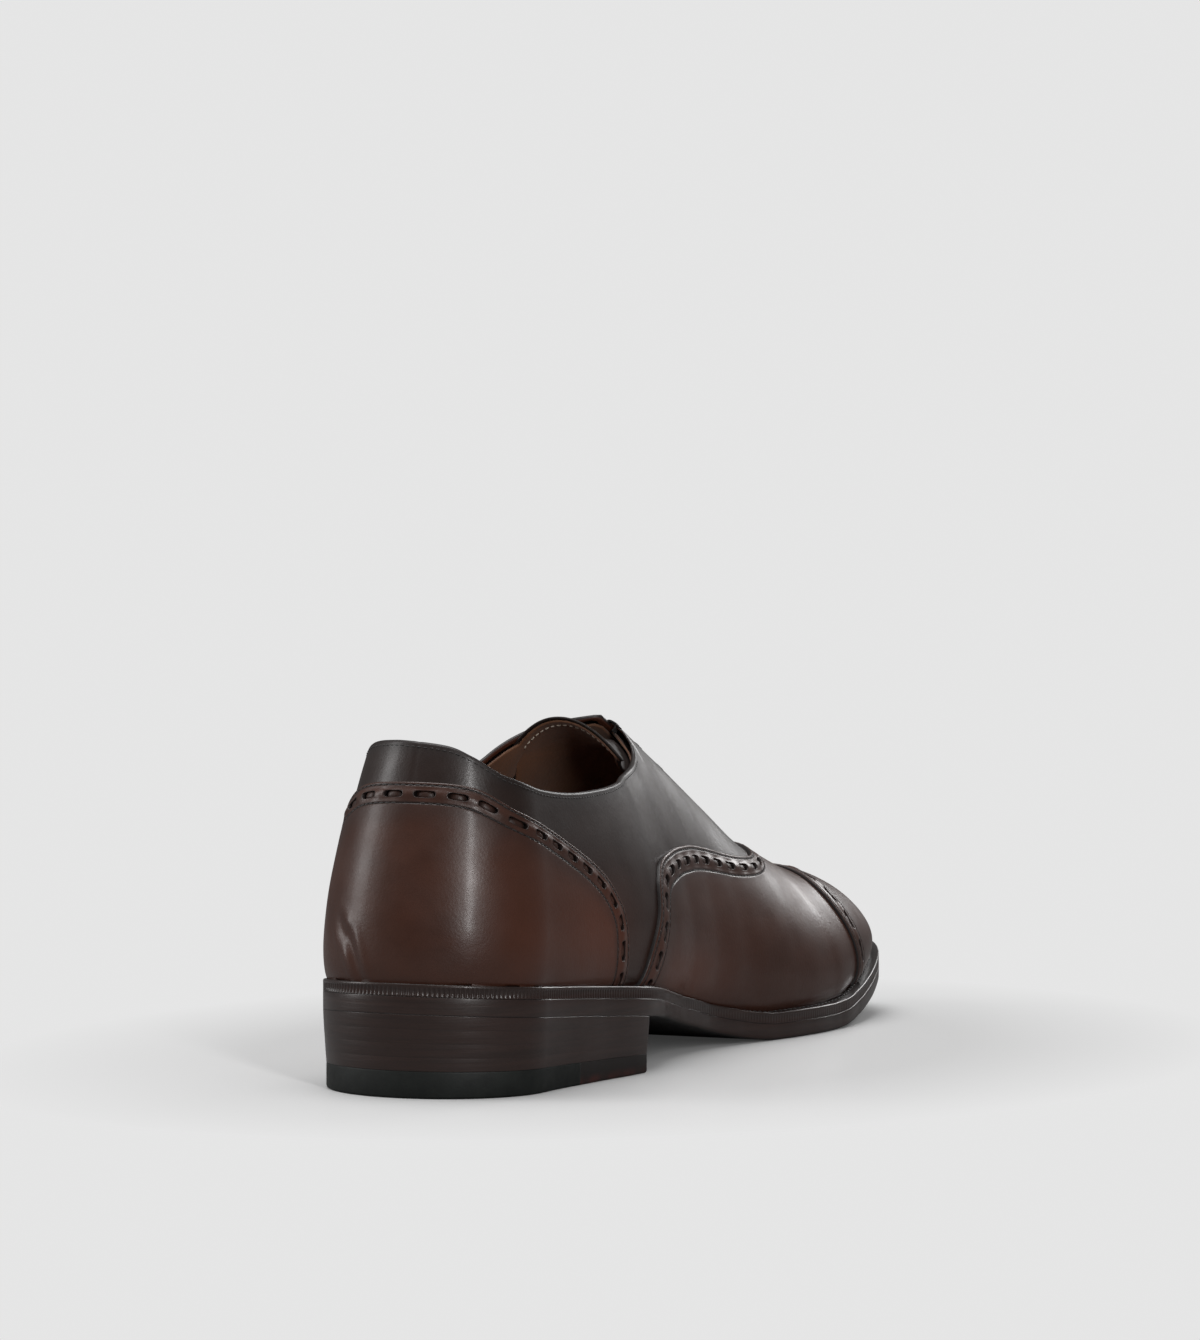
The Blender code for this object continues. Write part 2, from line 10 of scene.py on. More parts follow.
import bpy
import numpy as np
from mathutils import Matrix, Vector


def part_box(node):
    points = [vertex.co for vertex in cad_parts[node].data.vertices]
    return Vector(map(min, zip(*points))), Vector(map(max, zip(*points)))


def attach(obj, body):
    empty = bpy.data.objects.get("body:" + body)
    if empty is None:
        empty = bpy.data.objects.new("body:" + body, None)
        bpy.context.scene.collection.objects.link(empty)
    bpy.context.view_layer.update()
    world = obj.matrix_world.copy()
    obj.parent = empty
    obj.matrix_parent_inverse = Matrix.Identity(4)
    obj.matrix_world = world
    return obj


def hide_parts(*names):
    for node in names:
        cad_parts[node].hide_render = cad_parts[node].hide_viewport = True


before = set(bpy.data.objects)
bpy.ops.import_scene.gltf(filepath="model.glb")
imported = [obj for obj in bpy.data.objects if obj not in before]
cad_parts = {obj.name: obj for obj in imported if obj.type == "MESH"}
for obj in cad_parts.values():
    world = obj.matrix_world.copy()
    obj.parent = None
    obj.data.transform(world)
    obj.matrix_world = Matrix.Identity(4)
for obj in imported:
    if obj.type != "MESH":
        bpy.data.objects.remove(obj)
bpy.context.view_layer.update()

bl_info = {
    "name": "Cap-toe Oxford brogue",
    "version": (1, 0, 0),
    "blender": (4, 5, 0),
    "location": "View3D > Sidebar > Brogue",
    "description": "Makes the leather panels, brogue bands, sole, heel and stage of one Oxford shoe",
    "category": "Add Mesh",
}

MM = 0.001
SOLE_LOW, SOLE_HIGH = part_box("outsole")

# Whole shoe, read from the solids where they say it
SOLE_LENGTH = (SOLE_HIGH.y - SOLE_LOW.y) / MM
HEEL_CENTRE = -SOLE_LOW.y / MM
BALL_WIDTH = 100.0
HEEL_HEIGHT = 23.3
CONE_HEIGHT = 120.0
HEEL_LENGTH = 87.0
COLLAR_BACK = 97.0
HEEL_ARC = 30.0
HEEL_TAPER = 0.9
TOE_FROM = 0.738
TOE_POWER = 2.4
TOE_SHIFT = 4.0
WELT_UNDER_UPPER = 7.0
TOP_PIECE_JOINT = 50.5

# Thicknesses and clearances
WALL = 2.0
OVERLAY = 1.0
OUTSOLE = 5.0
WELT = 3.2
TONGUE_UNDER = 0.9
TONGUE_LEATHER = 0.8
TONGUE_LINING = 0.7
TOP_PIECE_BACK = 7.6
TOP_PIECE_FRONT = 5.5
GAP = 0.3

# Throat and laces
FACING_TOP = 0.436
THROAT = 0.708
TONGUE_TOP = 0.358
TONGUE_END = 0.69
TONGUE_HALF = 19.5
TONGUE_MIDDLE = 0.5
TONGUE_DROP = 12.8
SLIT_HALF = 1.0
LACE_BARS = 6
LACE_REACH = {1: 2.9, -1: 6.4}
LACE_DOWN = 2.4
LACE_SUNK = 0.18
EYELET_RADIUS = 1.15
EYELET_LIP = 0.24
EYELET_LIFT = -0.14

# Brogue band, across from the panel's edge at its usual width
BAND = 8.1
OUTER_STITCH = 1.2
CELL_FROM = 2.1
CELL_TO = 6.6
INNER_STITCH = 7.5
WINDOW_LENGTH = 6.0
WINDOW_WIDTH = 2.3
WINDOW_PITCH = 9.3
CELL_STEPS = 12
THROAT_PLAIN = 9.5
THROAT_END = 4.5
TURN_ROOM = 3.2
RING_SHARES = np.array([0.0, 0.06, 0.16, 0.32, 0.55, 0.78, 1.0])
STITCH_PITCH = 2.1
THREAD_SUNK = 0.16
TACK_STITCHES = 6
WHEEL_PITCH = 1.35

# Threads: distance between stitches, length of a stitch and half its thickness
BAND_THREAD = (STITCH_PITCH, 1.6, 0.25)
TURN_THREAD = (1.6, 1.6, 0.25)
COLLAR_THREAD = (1.9, 1.35, 0.17)
TONGUE_THREAD = (1.9, 1.35, 0.24)
WELT_THREAD = (2.6, 2.0, 0.30)
TACK_THREAD = (1.0, 5.0, 0.28)

# Sole's edge: share of length, inner and outer half width as shares of BALL_WIDTH
OUTLINE = (
    (0.000, 0.333, 0.333),
    (0.100, 0.335, 0.333),
    (0.200, 0.362, 0.338),
    (0.285, 0.392, 0.342),
    (0.330, 0.375, 0.348),
    (0.390, 0.330, 0.360),
    (0.445, 0.303, 0.378),
    (0.495, 0.303, 0.405),
    (0.550, 0.338, 0.442),
    (0.600, 0.383, 0.482),
    (0.650, 0.420, 0.518),
    (0.700, 0.440, 0.545),
    (0.750, 0.444, 0.555),
    (0.800, 0.428, 0.535),
    (0.850, 0.415, 0.505),
    (0.900, 0.408, 0.480),
    (1.000, 0.410, 0.450),
)
# Step from the sole's edge in to the upper: share of length, inner and outer, as shares of BALL_WIDTH
STEP_IN = (
    (0.000, 0.026, 0.026),
    (0.120, 0.032, 0.026),
    (0.200, 0.048, 0.026),
    (0.285, 0.068, 0.026),
    (0.350, 0.048, 0.024),
    (0.420, 0.026, 0.024),
    (0.500, 0.026, 0.032),
    (0.580, 0.046, 0.050),
    (0.660, 0.058, 0.058),
    (1.000, 0.062, 0.062),
)
# Sole's underside: share of length, height as a share of HEEL_HEIGHT
UNDERSIDE = (
    (0.00, 1.000),
    (0.10, 0.899),
    (0.20, 0.798),
    (0.30, 0.682),
    (0.36, 0.571),
    (0.45, 0.365),
    (0.53, 0.150),
    (0.58, 0.036),
    (0.61, 0.000),
    (0.72, 0.000),
    (0.75, 0.022),
    (0.80, 0.110),
    (0.85, 0.240),
    (0.90, 0.390),
    (0.95, 0.535),
    (1.00, 0.655),
)
# Top of the last: share of length, height over CONE_HEIGHT, sideways shift over BALL_WIDTH
RIDGE = (
    (0.000, 1.000, 0.000),
    (0.150, 1.000, 0.000),
    (0.250, 0.987, 0.000),
    (0.320, 0.950, 0.010),
    (0.380, 0.904, 0.015),
    (0.436, 0.850, 0.025),
    (0.520, 0.738, 0.050),
    (0.600, 0.617, 0.080),
    (0.660, 0.525, 0.100),
    (0.720, 0.454, 0.120),
    (0.790, 0.398, 0.130),
    (0.850, 0.373, 0.125),
    (0.900, 0.348, 0.105),
    (0.950, 0.318, 0.080),
    (1.000, 0.290, 0.060),
)
# Where each column ends: share of its foot, share of its top, half width of the cone over BALL_WIDTH
COLUMN_TOPS = (
    (0.00, 0.085, 0.175),
    (0.06, 0.120, 0.180),
    (0.12, 0.160, 0.175),
    (0.20, 0.215, 0.155),
    (0.27, 0.272, 0.105),
    (0.33, 0.330, 0.045),
    (0.37, 0.370, 0.000),
    (0.50, 0.490, 0.000),
    (0.60, 0.580, 0.000),
    (0.70, 0.672, 0.000),
    (0.80, 0.760, 0.000),
    (0.90, 0.835, 0.000),
    (0.96, 0.868, 0.000),
    (1.00, 0.880, 0.000),
)
# Cross section: share of length, bulge as a share of BALL_WIDTH, roundness, power of the round part
SECTION = (
    (0.00, 0.025, 0.00, 2.00),
    (0.12, 0.030, 0.03, 2.00),
    (0.24, 0.040, 0.22, 1.85),
    (0.35, 0.054, 0.62, 1.78),
    (0.45, 0.060, 0.93, 1.72),
    (0.55, 0.054, 1.00, 1.68),
    (0.65, 0.046, 1.00, 1.70),
    (0.75, 0.040, 1.00, 1.85),
    (0.85, 0.034, 1.00, 2.25),
    (1.00, 0.028, 1.00, 2.45),
)
# Edges seen from the side: share of length, height as a share of COLLAR_BACK
INNER_COLLAR = (
    (-0.030, 1.006),
    (0.030, 1.005),
    (0.055, 0.994),
    (0.066, 0.958),
    (0.078, 0.916),
    (0.092, 0.893),
    (0.134, 0.856),
    (0.195, 0.836),
    (0.265, 0.836),
    (0.330, 0.848),
    (0.385, 0.872),
    (0.425, 0.898),
    (0.448, 0.932),
    (0.456, 1.000),
    (0.460, 1.090),
)
OUTER_COLLAR = (
    (-0.030, 1.006),
    (0.030, 1.006),
    (0.060, 1.002),
    (0.080, 0.990),
    (0.105, 0.955),
    (0.140, 0.920),
    (0.195, 0.890),
    (0.265, 0.866),
    (0.290, 0.874),
    (0.310, 0.890),
    (0.325, 0.914),
    (0.338, 0.945),
    (0.352, 0.975),
    (0.370, 1.000),
    (0.400, 1.020),
    (0.445, 1.045),
    (0.460, 1.100),
)
COUNTER_EDGE = (
    (-0.030, 0.893),
    (0.048, 0.886),
    (0.085, 0.806),
    (0.150, 0.722),
    (0.216, 0.624),
    (0.250, 0.530),
    (0.264, 0.410),
    (0.265, 0.050),
)
VAMP_EDGE = (
    (0.270, 0.050),
    (0.278, 0.100),
    (0.311, 0.325),
    (0.338, 0.454),
    (0.356, 0.562),
    (0.393, 0.622),
    (0.485, 0.633),
    (0.600, 0.577),
    (0.672, 0.572),
    (0.715, 0.630),
)
CAP_SEAM = 0.787
CAP_SWEEP = 0.043
CAP_REACH = 0.36

# Creases: start and end as (turn, level) of heel_chart, depth and half width
CREASES = (
    ((-0.068, 0.15), (-0.045, 0.00), 0.65, 1.5),
    ((-0.088, 0.19), (-0.072, 0.11), 0.40, 1.6),
    ((0.43, 0.50), (0.47, 0.24), 0.16, 6.0),
    ((0.62, 0.34), (0.66, 0.60), 0.06, 8.0),
    ((-0.62, 0.34), (-0.66, 0.60), 0.06, 8.0),
    ((0.36, 0.66), (0.44, 0.80), 0.12, 8.0),
)


def curve(table, column, share):
    """A monotone cubic through one column of a table, which never overshoots its rows."""
    rows = np.asarray(table, float)
    x = rows[:, 0]
    y = rows[:, column]
    step = np.diff(x)
    rise = np.diff(y) / step
    slope = np.zeros(len(x))
    slope[0] = rise[0]
    slope[-1] = rise[-1]
    for k in range(1, len(x) - 1):
        if rise[k - 1] * rise[k] > 0:
            before = 2 * step[k] + step[k - 1]
            after = step[k] + 2 * step[k - 1]
            slope[k] = (before + after) / (before / rise[k - 1] + after / rise[k])
    share = np.clip(np.asarray(share, float), x[0], x[-1])
    k = np.clip(np.searchsorted(x, share, side="right") - 1, 0, len(x) - 2)
    s = (share - x[k]) / step[k]
    return (
        (1 + 2 * s) * (1 - s) ** 2 * y[k]
        + s * (1 - s) ** 2 * step[k] * slope[k]
        + s * s * (3 - 2 * s) * y[k + 1]
        + s * s * (s - 1) * step[k] * slope[k + 1]
    )


def place(share):
    """Y of a share of the length."""
    return np.asarray(share) * SOLE_LENGTH - HEEL_CENTRE


def share_of(y):
    return (np.asarray(y) + HEEL_CENTRE) / SOLE_LENGTH


def underside(y):
    return HEEL_HEIGHT * curve(UNDERSIDE, 1, share_of(y))


def feather(y):
    """Height at which the upper meets the welt."""
    return underside(y) + OUTSOLE + WELT + 2 * GAP


def heel_round(share):
    behind = np.clip(1 - share * SOLE_LENGTH / HEEL_ARC, 0, 1)
    return np.sqrt(1 - behind**2)


def around(count):
    """Shares and sides of a ring's columns: up the inner side, then back down the outer side."""
    k = np.arange(count + 1)
    up = (1 - np.cos(math.pi * k / count)) / 2
    share = np.concatenate([up, up[-2:0:-1]])
    side = np.concatenate([np.ones(count + 1), -np.ones(count - 1)])
    return share, side


def by_side(table, share, side):
    return BALL_WIDTH * np.where(side > 0, curve(table, 1, share), curve(table, 2, share))


def outline(share, side, inset=0.0):
    """Plan points of the sole's edge moved in by inset, and the outward directions there."""
    toe = np.clip((share - TOE_FROM) / (1 - TOE_FROM), 0, 1)
    width = by_side(OUTLINE, share, side) * heel_round(share) * (1 - toe**TOE_POWER) ** (1 / TOE_POWER)
    points = np.stack([TOE_SHIFT * toe + side * width, place(share)], 1)
    along = np.roll(points, -1, 0) - np.roll(points, 1, 0)
    along /= np.linalg.norm(along, axis=1)[:, None]
    out = np.stack([along[:, 1], -along[:, 0]], 1)
    return points - out * (np.asarray(inset) * np.ones(len(points)))[:, None], out


def foot_lines(count=1500):
    """The last's foot and its outward directions on each side, against a turn from heel 0 to toe 1."""
    share, side = around(count)
    foot, out = outline(share, side, by_side(STEP_IN, share, side))
    inner = np.hstack([foot, out])
    outer = np.vstack([inner[:1], inner[: count - 1 : -1]])
    return np.linspace(0, 1, count + 1), {1: inner[: count + 1], -1: outer}


TURNS, FEET = foot_lines()


def on_last(turn, side, level):
    """Points of the last's surface. Below level 0 it goes straight down behind the welt."""
    turn = np.asarray(turn, float)
    side = np.where(turn > 1, -side, side)
    turn = np.where(turn > 1, 2 - turn, turn)
    share = (1 - np.cos(math.pi * turn)) / 2
    columns = []
    for c in range(4):
        inner = np.interp(turn, TURNS, FEET[1][:, c])
        outer = np.interp(turn, TURNS, FEET[-1][:, c])
        columns.append(np.where(side > 0, inner, outer))
    foot = np.stack(columns, -1)
    top = curve(COLUMN_TOPS, 1, share)
    cone = BALL_WIDTH * curve(COLUMN_TOPS, 2, share) * heel_round(share)
    top_x = BALL_WIDTH * curve(RIDGE, 2, top) + side * cone
    top_y = place(top)
    bulge = BALL_WIDTH * curve(SECTION, 1, share)
    round_part = curve(SECTION, 2, share)
    power = 2 / curve(SECTION, 3, share)
    v = np.clip(level, 0, 1)
    inward = (1 - round_part) * v**1.45 + round_part * (1 - np.cos(math.pi / 2 * v).clip(0) ** power)
    height = (1 - round_part) * v + round_part * np.sin(math.pi / 2 * v) ** power
    swell = bulge * np.sin(math.pi * height**0.62) * np.clip(1 - height, 0, 1) ** 0.35
    x = foot[..., 0] + (top_x - foot[..., 0]) * inward + foot[..., 2] * swell
    y = foot[..., 1] + (top_y - foot[..., 1]) * inward + foot[..., 3] * swell
    ridge = CONE_HEIGHT * curve(RIDGE, 1, share_of(y))
    z = feather(foot[..., 1]) * (1 - height) + ridge * height + 60 * np.minimum(level, 0)
    return np.stack([x, y, z], -1)


def heel_chart(a, b):
    """The last unrolled from the heel's back: a is the turn, below 0 on the outer side, b the level."""
    return on_last(np.abs(a), np.where(a < 0, -1, 1), b)


def front_chart(a, b):
    """The last unrolled over its ridge: a is the turn and b the level, from 1 to 2 down the outer side."""
    return on_last(a, np.where(b > 1, -1, 1), np.where(b > 1, 2 - b, b))


def slopes(chart, a, b, near=0.004):
    along = (chart(a + near, b) - chart(a - near, b)) / (2 * near)
    up = (chart(a, b + near) - chart(a, b - near)) / (2 * near)
    return along, up


def crease_ends():
    """Both ends of each crease as points of the last."""
    found = []
    for start, end, depth, half in CREASES:
        turn, level = np.transpose([start, end])
        found.append((*heel_chart(turn, level), depth, half))
    return found


def relief(points):
    """Creases, their raised flanks and the soft unevenness that leather has over a last."""
    x, y, z = points[..., 0], points[..., 1], points[..., 2]
    height = 0.05 * np.sin(y / 7.3 + z / 5.1 + x / 9.0) * np.sin(z / 6.2 - y / 11.0)
    height += 0.06 * np.sin(y / 19.0 - z / 13.0 + x / 21.0)
    for start, end, depth, half in CREASE_ENDS:
        way = end - start
        share = np.clip((points - start) @ way / (way @ way), 0, 1)
        off = np.linalg.norm(points - start - share[..., None] * way, axis=-1)
        dent = np.exp(-((off / half) ** 2)) - 0.45 * np.exp(-(((off - 2.1 * half) / half) ** 2))
        height -= depth * (0.35 + 0.65 * np.sin(math.pi * share)) * dent
    return height


CREASE_ENDS = crease_ends()


def laid(chart, a, b, lift):
    """Points at a height over the last."""
    along, up = slopes(chart, a, b)
    out = np.cross(along, up)
    length = np.linalg.norm(out, axis=-1, keepdims=True)
    points = chart(a, b)
    lift = lift + relief(points)
    return points + out / np.where(length > 0, length, 1) * lift[..., None]


def half_way(test, low, high, steps=36):
    """Where test turns from False at low to True at high."""
    for _ in range(steps):
        middle = (low + high) / 2
        hit = test(middle)
        high = np.where(hit, middle, high)
        low = np.where(hit, low, middle)
    return (low + high) / 2


def edge_height(table, y):
    """Height of a smooth line through an edge's table."""
    rows = np.array([(place(s), h * COLLAR_BACK) for s, h in table])
    ends = np.vstack([2 * rows[0] - rows[1], rows, 2 * rows[-1] - rows[-2]])
    found = []
    for k in range(1, len(ends) - 2):
        a, b, c, d = ends[k - 1 : k + 3]
        for s in np.arange(12) / 12:
            bend = (2 * a - 5 * b + 4 * c - d) * s**2 + (3 * b - a - 3 * c + d) * s**3
            found.append(0.5 * (2 * b + (c - a) * s + bend))
    found.append(rows[-1])
    found = np.array(found)
    return np.interp(y, np.maximum.accumulate(found[:, 0]), found[:, 1])


def spaced(chart, a, b, spacing):
    """The same line with points a set distance apart, and its length."""
    points = chart(a, b)
    run = np.concatenate([[0], np.cumsum(np.linalg.norm(np.diff(points, axis=0), axis=1))])
    count = max(int(round(run[-1] / spacing)), 2)
    at = np.linspace(0, run[-1], count + 1)
    return np.interp(at, run, a), np.interp(at, run, b), at


def softened(line, times):
    line = line.copy()
    for _ in range(times):
        line[1:-1] = 0.5 * line[1:-1] + 0.25 * (line[:-2] + line[2:])
    return line


def softened_path(points, times):
    return np.stack([softened(points[:, c], times) for c in range(3)], -1)


def along_path(u, run, path):
    """Points at distances u along a path whose points lie at the distances run."""
    return np.stack([np.interp(u, run, path[:, c]) for c in range(3)], -1)


class Seam:
    """A band along a panel's edge: (u, b) is the distance along it and across it, in millimetres."""

    def __init__(self, chart, a, b, inward, width, steps=18):
        self.chart = chart
        a, b, self.run = spaced(chart, a, b, 0.8)
        self.length = self.run[-1]
        self.width = width(chart(a, b)) * np.ones(len(a))
        lines = [(a, b)]
        for _ in range(steps):
            along, up = slopes(chart, a, b)
            points = chart(a, b)
            tangent = np.gradient(points, axis=0)
            normal = np.cross(along, up)
            across = np.cross(normal, tangent) * inward
            across /= np.linalg.norm(across, axis=1)[:, None]
            across *= (self.width / steps)[:, None]
            aa = (along * along).sum(1) + 1e-3
            bb = (up * up).sum(1) + 1e-3
            ab = (along * up).sum(1)
            ra = (along * across).sum(1)
            rb = (up * across).sum(1)
            det = aa * bb - ab * ab
            a = softened(a + (bb * ra - ab * rb) / det, 2)
            b = softened(b + (aa * rb - ab * ra) / det, 2)
            lines.append((a, b))
        self.lines = np.array(lines)
        self.steps = steps

    def chart_at(self, u, across):
        """Chart places for distances along the seam and shares of BAND across it."""
        f = np.clip(np.asarray(across, float) / BAND * self.steps, 0, self.steps)
        k = np.minimum(f.astype(int), self.steps - 1)
        g = f - k
        place_u = np.clip(np.asarray(u, float), 0, self.length) / (self.run[1] - self.run[0])
        i = np.minimum(place_u.astype(int), len(self.run) - 2)
        h = place_u - i
        found = []
        for c in (0, 1):
            line = self.lines[:, c]
            low = line[k, i] * (1 - h) + line[k, i + 1] * h
            high = line[k + 1, i] * (1 - h) + line[k + 1, i + 1] * h
            found.append(low * (1 - g) + high * g)
        return found

    def at(self, u, across, lift):
        a, b = self.chart_at(u, across)
        return laid(self.chart, a, b, lift)


def collar_level(turn, side, inside=0.0):
    """Level at which each column ends: on the collar's edge, or beside the facings' slit."""
    turn = np.asarray(turn, float)

    def above(level):
        p = on_last(turn, side, level)
        y = p[..., 1] - inside
        across = np.clip(0.5 + p[..., 0] / 16, 0, 1)
        inner = np.where(p[..., 1] < 0, across * across * (3 - 2 * across), side > 0)
        edge = edge_height(INNER_COLLAR, y) * inner + edge_height(OUTER_COLLAR, y) * (1 - inner)
        return p[..., 2] > edge - inside

    ridge = on_last(turn, side, np.ones_like(turn))

    def beside(level):
        p = on_last(turn, side, level)
        return np.linalg.norm(p - ridge, axis=-1) < SLIT_HALF + inside

    low = np.full(turn.shape, 0.3)
    high = np.ones_like(turn)
    open_part = curve(COLUMN_TOPS, 2, (1 - np.cos(math.pi * turn)) / 2) > 0.001
    slit = np.where(open_part, 1.0, half_way(beside, low, high))
    return np.minimum(half_way(above, low, high), slit)


def counter_line():
    """The counter's edge as chart places, from the outer foot over the back to the inner foot."""

    def above(level):
        p = heel_chart(np.zeros(1), level)
        return p[..., 2] > edge_height(COUNTER_EDGE, p[..., 1])

    level_back = float(half_way(above, np.array([0.2]), np.ones(1))[0])
    s = np.linspace(0, 1, 500)
    level = level_back - (level_back + 0.05) * s**2

    def outside(turn):
        p = heel_chart(turn, level)
        return p[..., 2] > edge_height(COUNTER_EDGE, p[..., 1])

    def outside_far(turn):
        p = heel_chart(-turn, level)
        return p[..., 2] > edge_height(COUNTER_EDGE, p[..., 1])

    zero = np.zeros(len(s))
    near = half_way(outside, zero, zero + 0.5)
    far = half_way(outside_far, zero, zero + 0.5)
    near[0] = 0.0
    a = np.concatenate([-far[:0:-1], near])
    b = np.concatenate([level[:0:-1], level])
    return a, b


def vamp_line():
    """The vamp's top edge as chart places, from the inner foot over the throat to the outer foot."""
    b = np.linspace(-0.05, 2.05, 1200)

    def behind(turn):
        p = front_chart(turn, b)
        return p[..., 2] > edge_height(VAMP_EDGE, p[..., 1])

    a = half_way(behind, np.full(len(b), 0.80), np.full(len(b), 0.25))
    return softened(a, 6), b


def cap_line():
    """The toe cap's edge as chart places, from the inner foot over the ridge to the outer foot."""
    b = np.linspace(-0.05, 2.05, 1200)
    middle = BALL_WIDTH * float(curve(RIDGE, 2, CAP_SEAM))
    reach = CAP_REACH * BALL_WIDTH * 2

    def in_front(turn):
        p = front_chart(turn, b)
        s = (p[..., 0] - middle) / reach
        y = place(CAP_SEAM) + CAP_SWEEP * SOLE_LENGTH * np.minimum((2 * s) ** 2, np.abs(2.6 * s))
        return p[..., 1] > y

    a = half_way(in_front, np.full(len(b), 0.4), np.full(len(b), 0.95))
    return softened(a, 6), b


def chosen(key):
    """A size from the panel, in millimetres."""
    return getattr(bpy.context.scene.brogue_sizes, key) / MM


def deselect():
    for obj in bpy.context.selected_objects:
        obj.select_set(False)


def finished(obj, name, look, replaces=()):
    """Names a piece, gives it its finish and ties it to the shoe."""
    obj.name = name
    obj.data.name = obj.name
    obj.data.materials.clear()
    obj.data.materials.append(look)
    obj.data.shade_smooth()
    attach(obj, "root")
    if replaces:
        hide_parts(*replaces)
    return obj


def mesh_of(name, points, faces, merge=0.004, **attributes):
    """An object at the origin from points in millimetres, with doubles merged."""
    mesh = bpy.data.meshes.new(name)
    mesh.from_pydata((np.asarray(points) * MM).tolist(), [], [list(map(int, f)) for f in faces])
    for key, value in attributes.items():
        layer = mesh.attributes.new(key, "FLOAT", "POINT")
        layer.data.foreach_set("value", np.asarray(value, np.float32))
    obj = bpy.data.objects.new(name, mesh)
    bpy.context.scene.collection.objects.link(obj)
    deselect()
    bpy.context.view_layer.objects.active = obj
    obj.select_set(True)
    bpy.ops.object.mode_set(mode="EDIT")
    bpy.ops.mesh.select_all(action="SELECT")
    if merge:
        bpy.ops.mesh.remove_doubles(threshold=merge * MM)
    bpy.ops.mesh.normals_make_consistent(inside=False)
    bpy.ops.object.mode_set(mode="OBJECT")
    return obj


def net(rows, columns, first=0, wrap=False):
    """Faces of a grid whose points run along columns inside rows."""
    faces = []
    for i in range(rows - 1):
        for j in range(columns if wrap else columns - 1):
            a = first + i * columns + j
            b = first + i * columns + (j + 1) % columns
            faces.append((a, b, b + columns, a + columns))
    return faces


def window_cell():
    """One window's cell: places along and across, rings from its rim to the cell's edge, and faces."""
    across_steps = 6
    half_u, half_b = WINDOW_PITCH / 2, (CELL_TO - CELL_FROM) / 2
    rim = []
    edge = []
    for k in range(CELL_STEPS):
        edge.append((-half_u + k * WINDOW_PITCH / CELL_STEPS, -half_b))
    for k in range(across_steps):
        edge.append((half_u, -half_b + 2 * half_b * k / across_steps))
    for k in range(CELL_STEPS):
        edge.append((half_u - k * WINDOW_PITCH / CELL_STEPS, half_b))
    for k in range(across_steps):
        edge.append((-half_u, half_b - 2 * half_b * k / across_steps))
    edge = np.array(edge)
    straight = (WINDOW_LENGTH - WINDOW_WIDTH) / 2
    radius = WINDOW_WIDTH / 2
    for u, b in edge:
        core = np.clip(u * 0.62, -straight, straight)
        if abs(u * 0.62) > straight:
            turn = math.atan2(b * 1.1, u - core)
        else:
            turn = math.copysign(math.pi / 2, b)
        rim.append((core + radius * math.cos(turn), radius * math.sin(turn)))
    rim = np.array(rim)
    rings = [rim * (1 - s) + edge * s for s in RING_SHARES]
    return np.array(rings), len(edge)


def band_height(u_in_cell, across, shares):
    """Height of a band's leather over the last."""
    top = GAP + OVERLAY
    middle = (CELL_FROM + CELL_TO) / 2
    bridge = np.sin(math.pi * u_in_cell / WINDOW_PITCH) ** 2
    height = top + 0.50 * bridge * np.exp(-(((across - middle) / 1.7) ** 2))
    rim = np.exp(-((shares / 0.22) ** 2))
    return height + 0.10 * rim - 0.22 * np.exp(-((shares / 0.05) ** 2))


def closed_cell(rings):
    """The same cell with no window: its rim drawn in to a small ring, which the leather closes."""
    small = rings[0] * 0.25
    shares = np.linspace(0, 1, len(rings))[:, None, None]
    return small * (1 - shares) + rings[-1] * shares


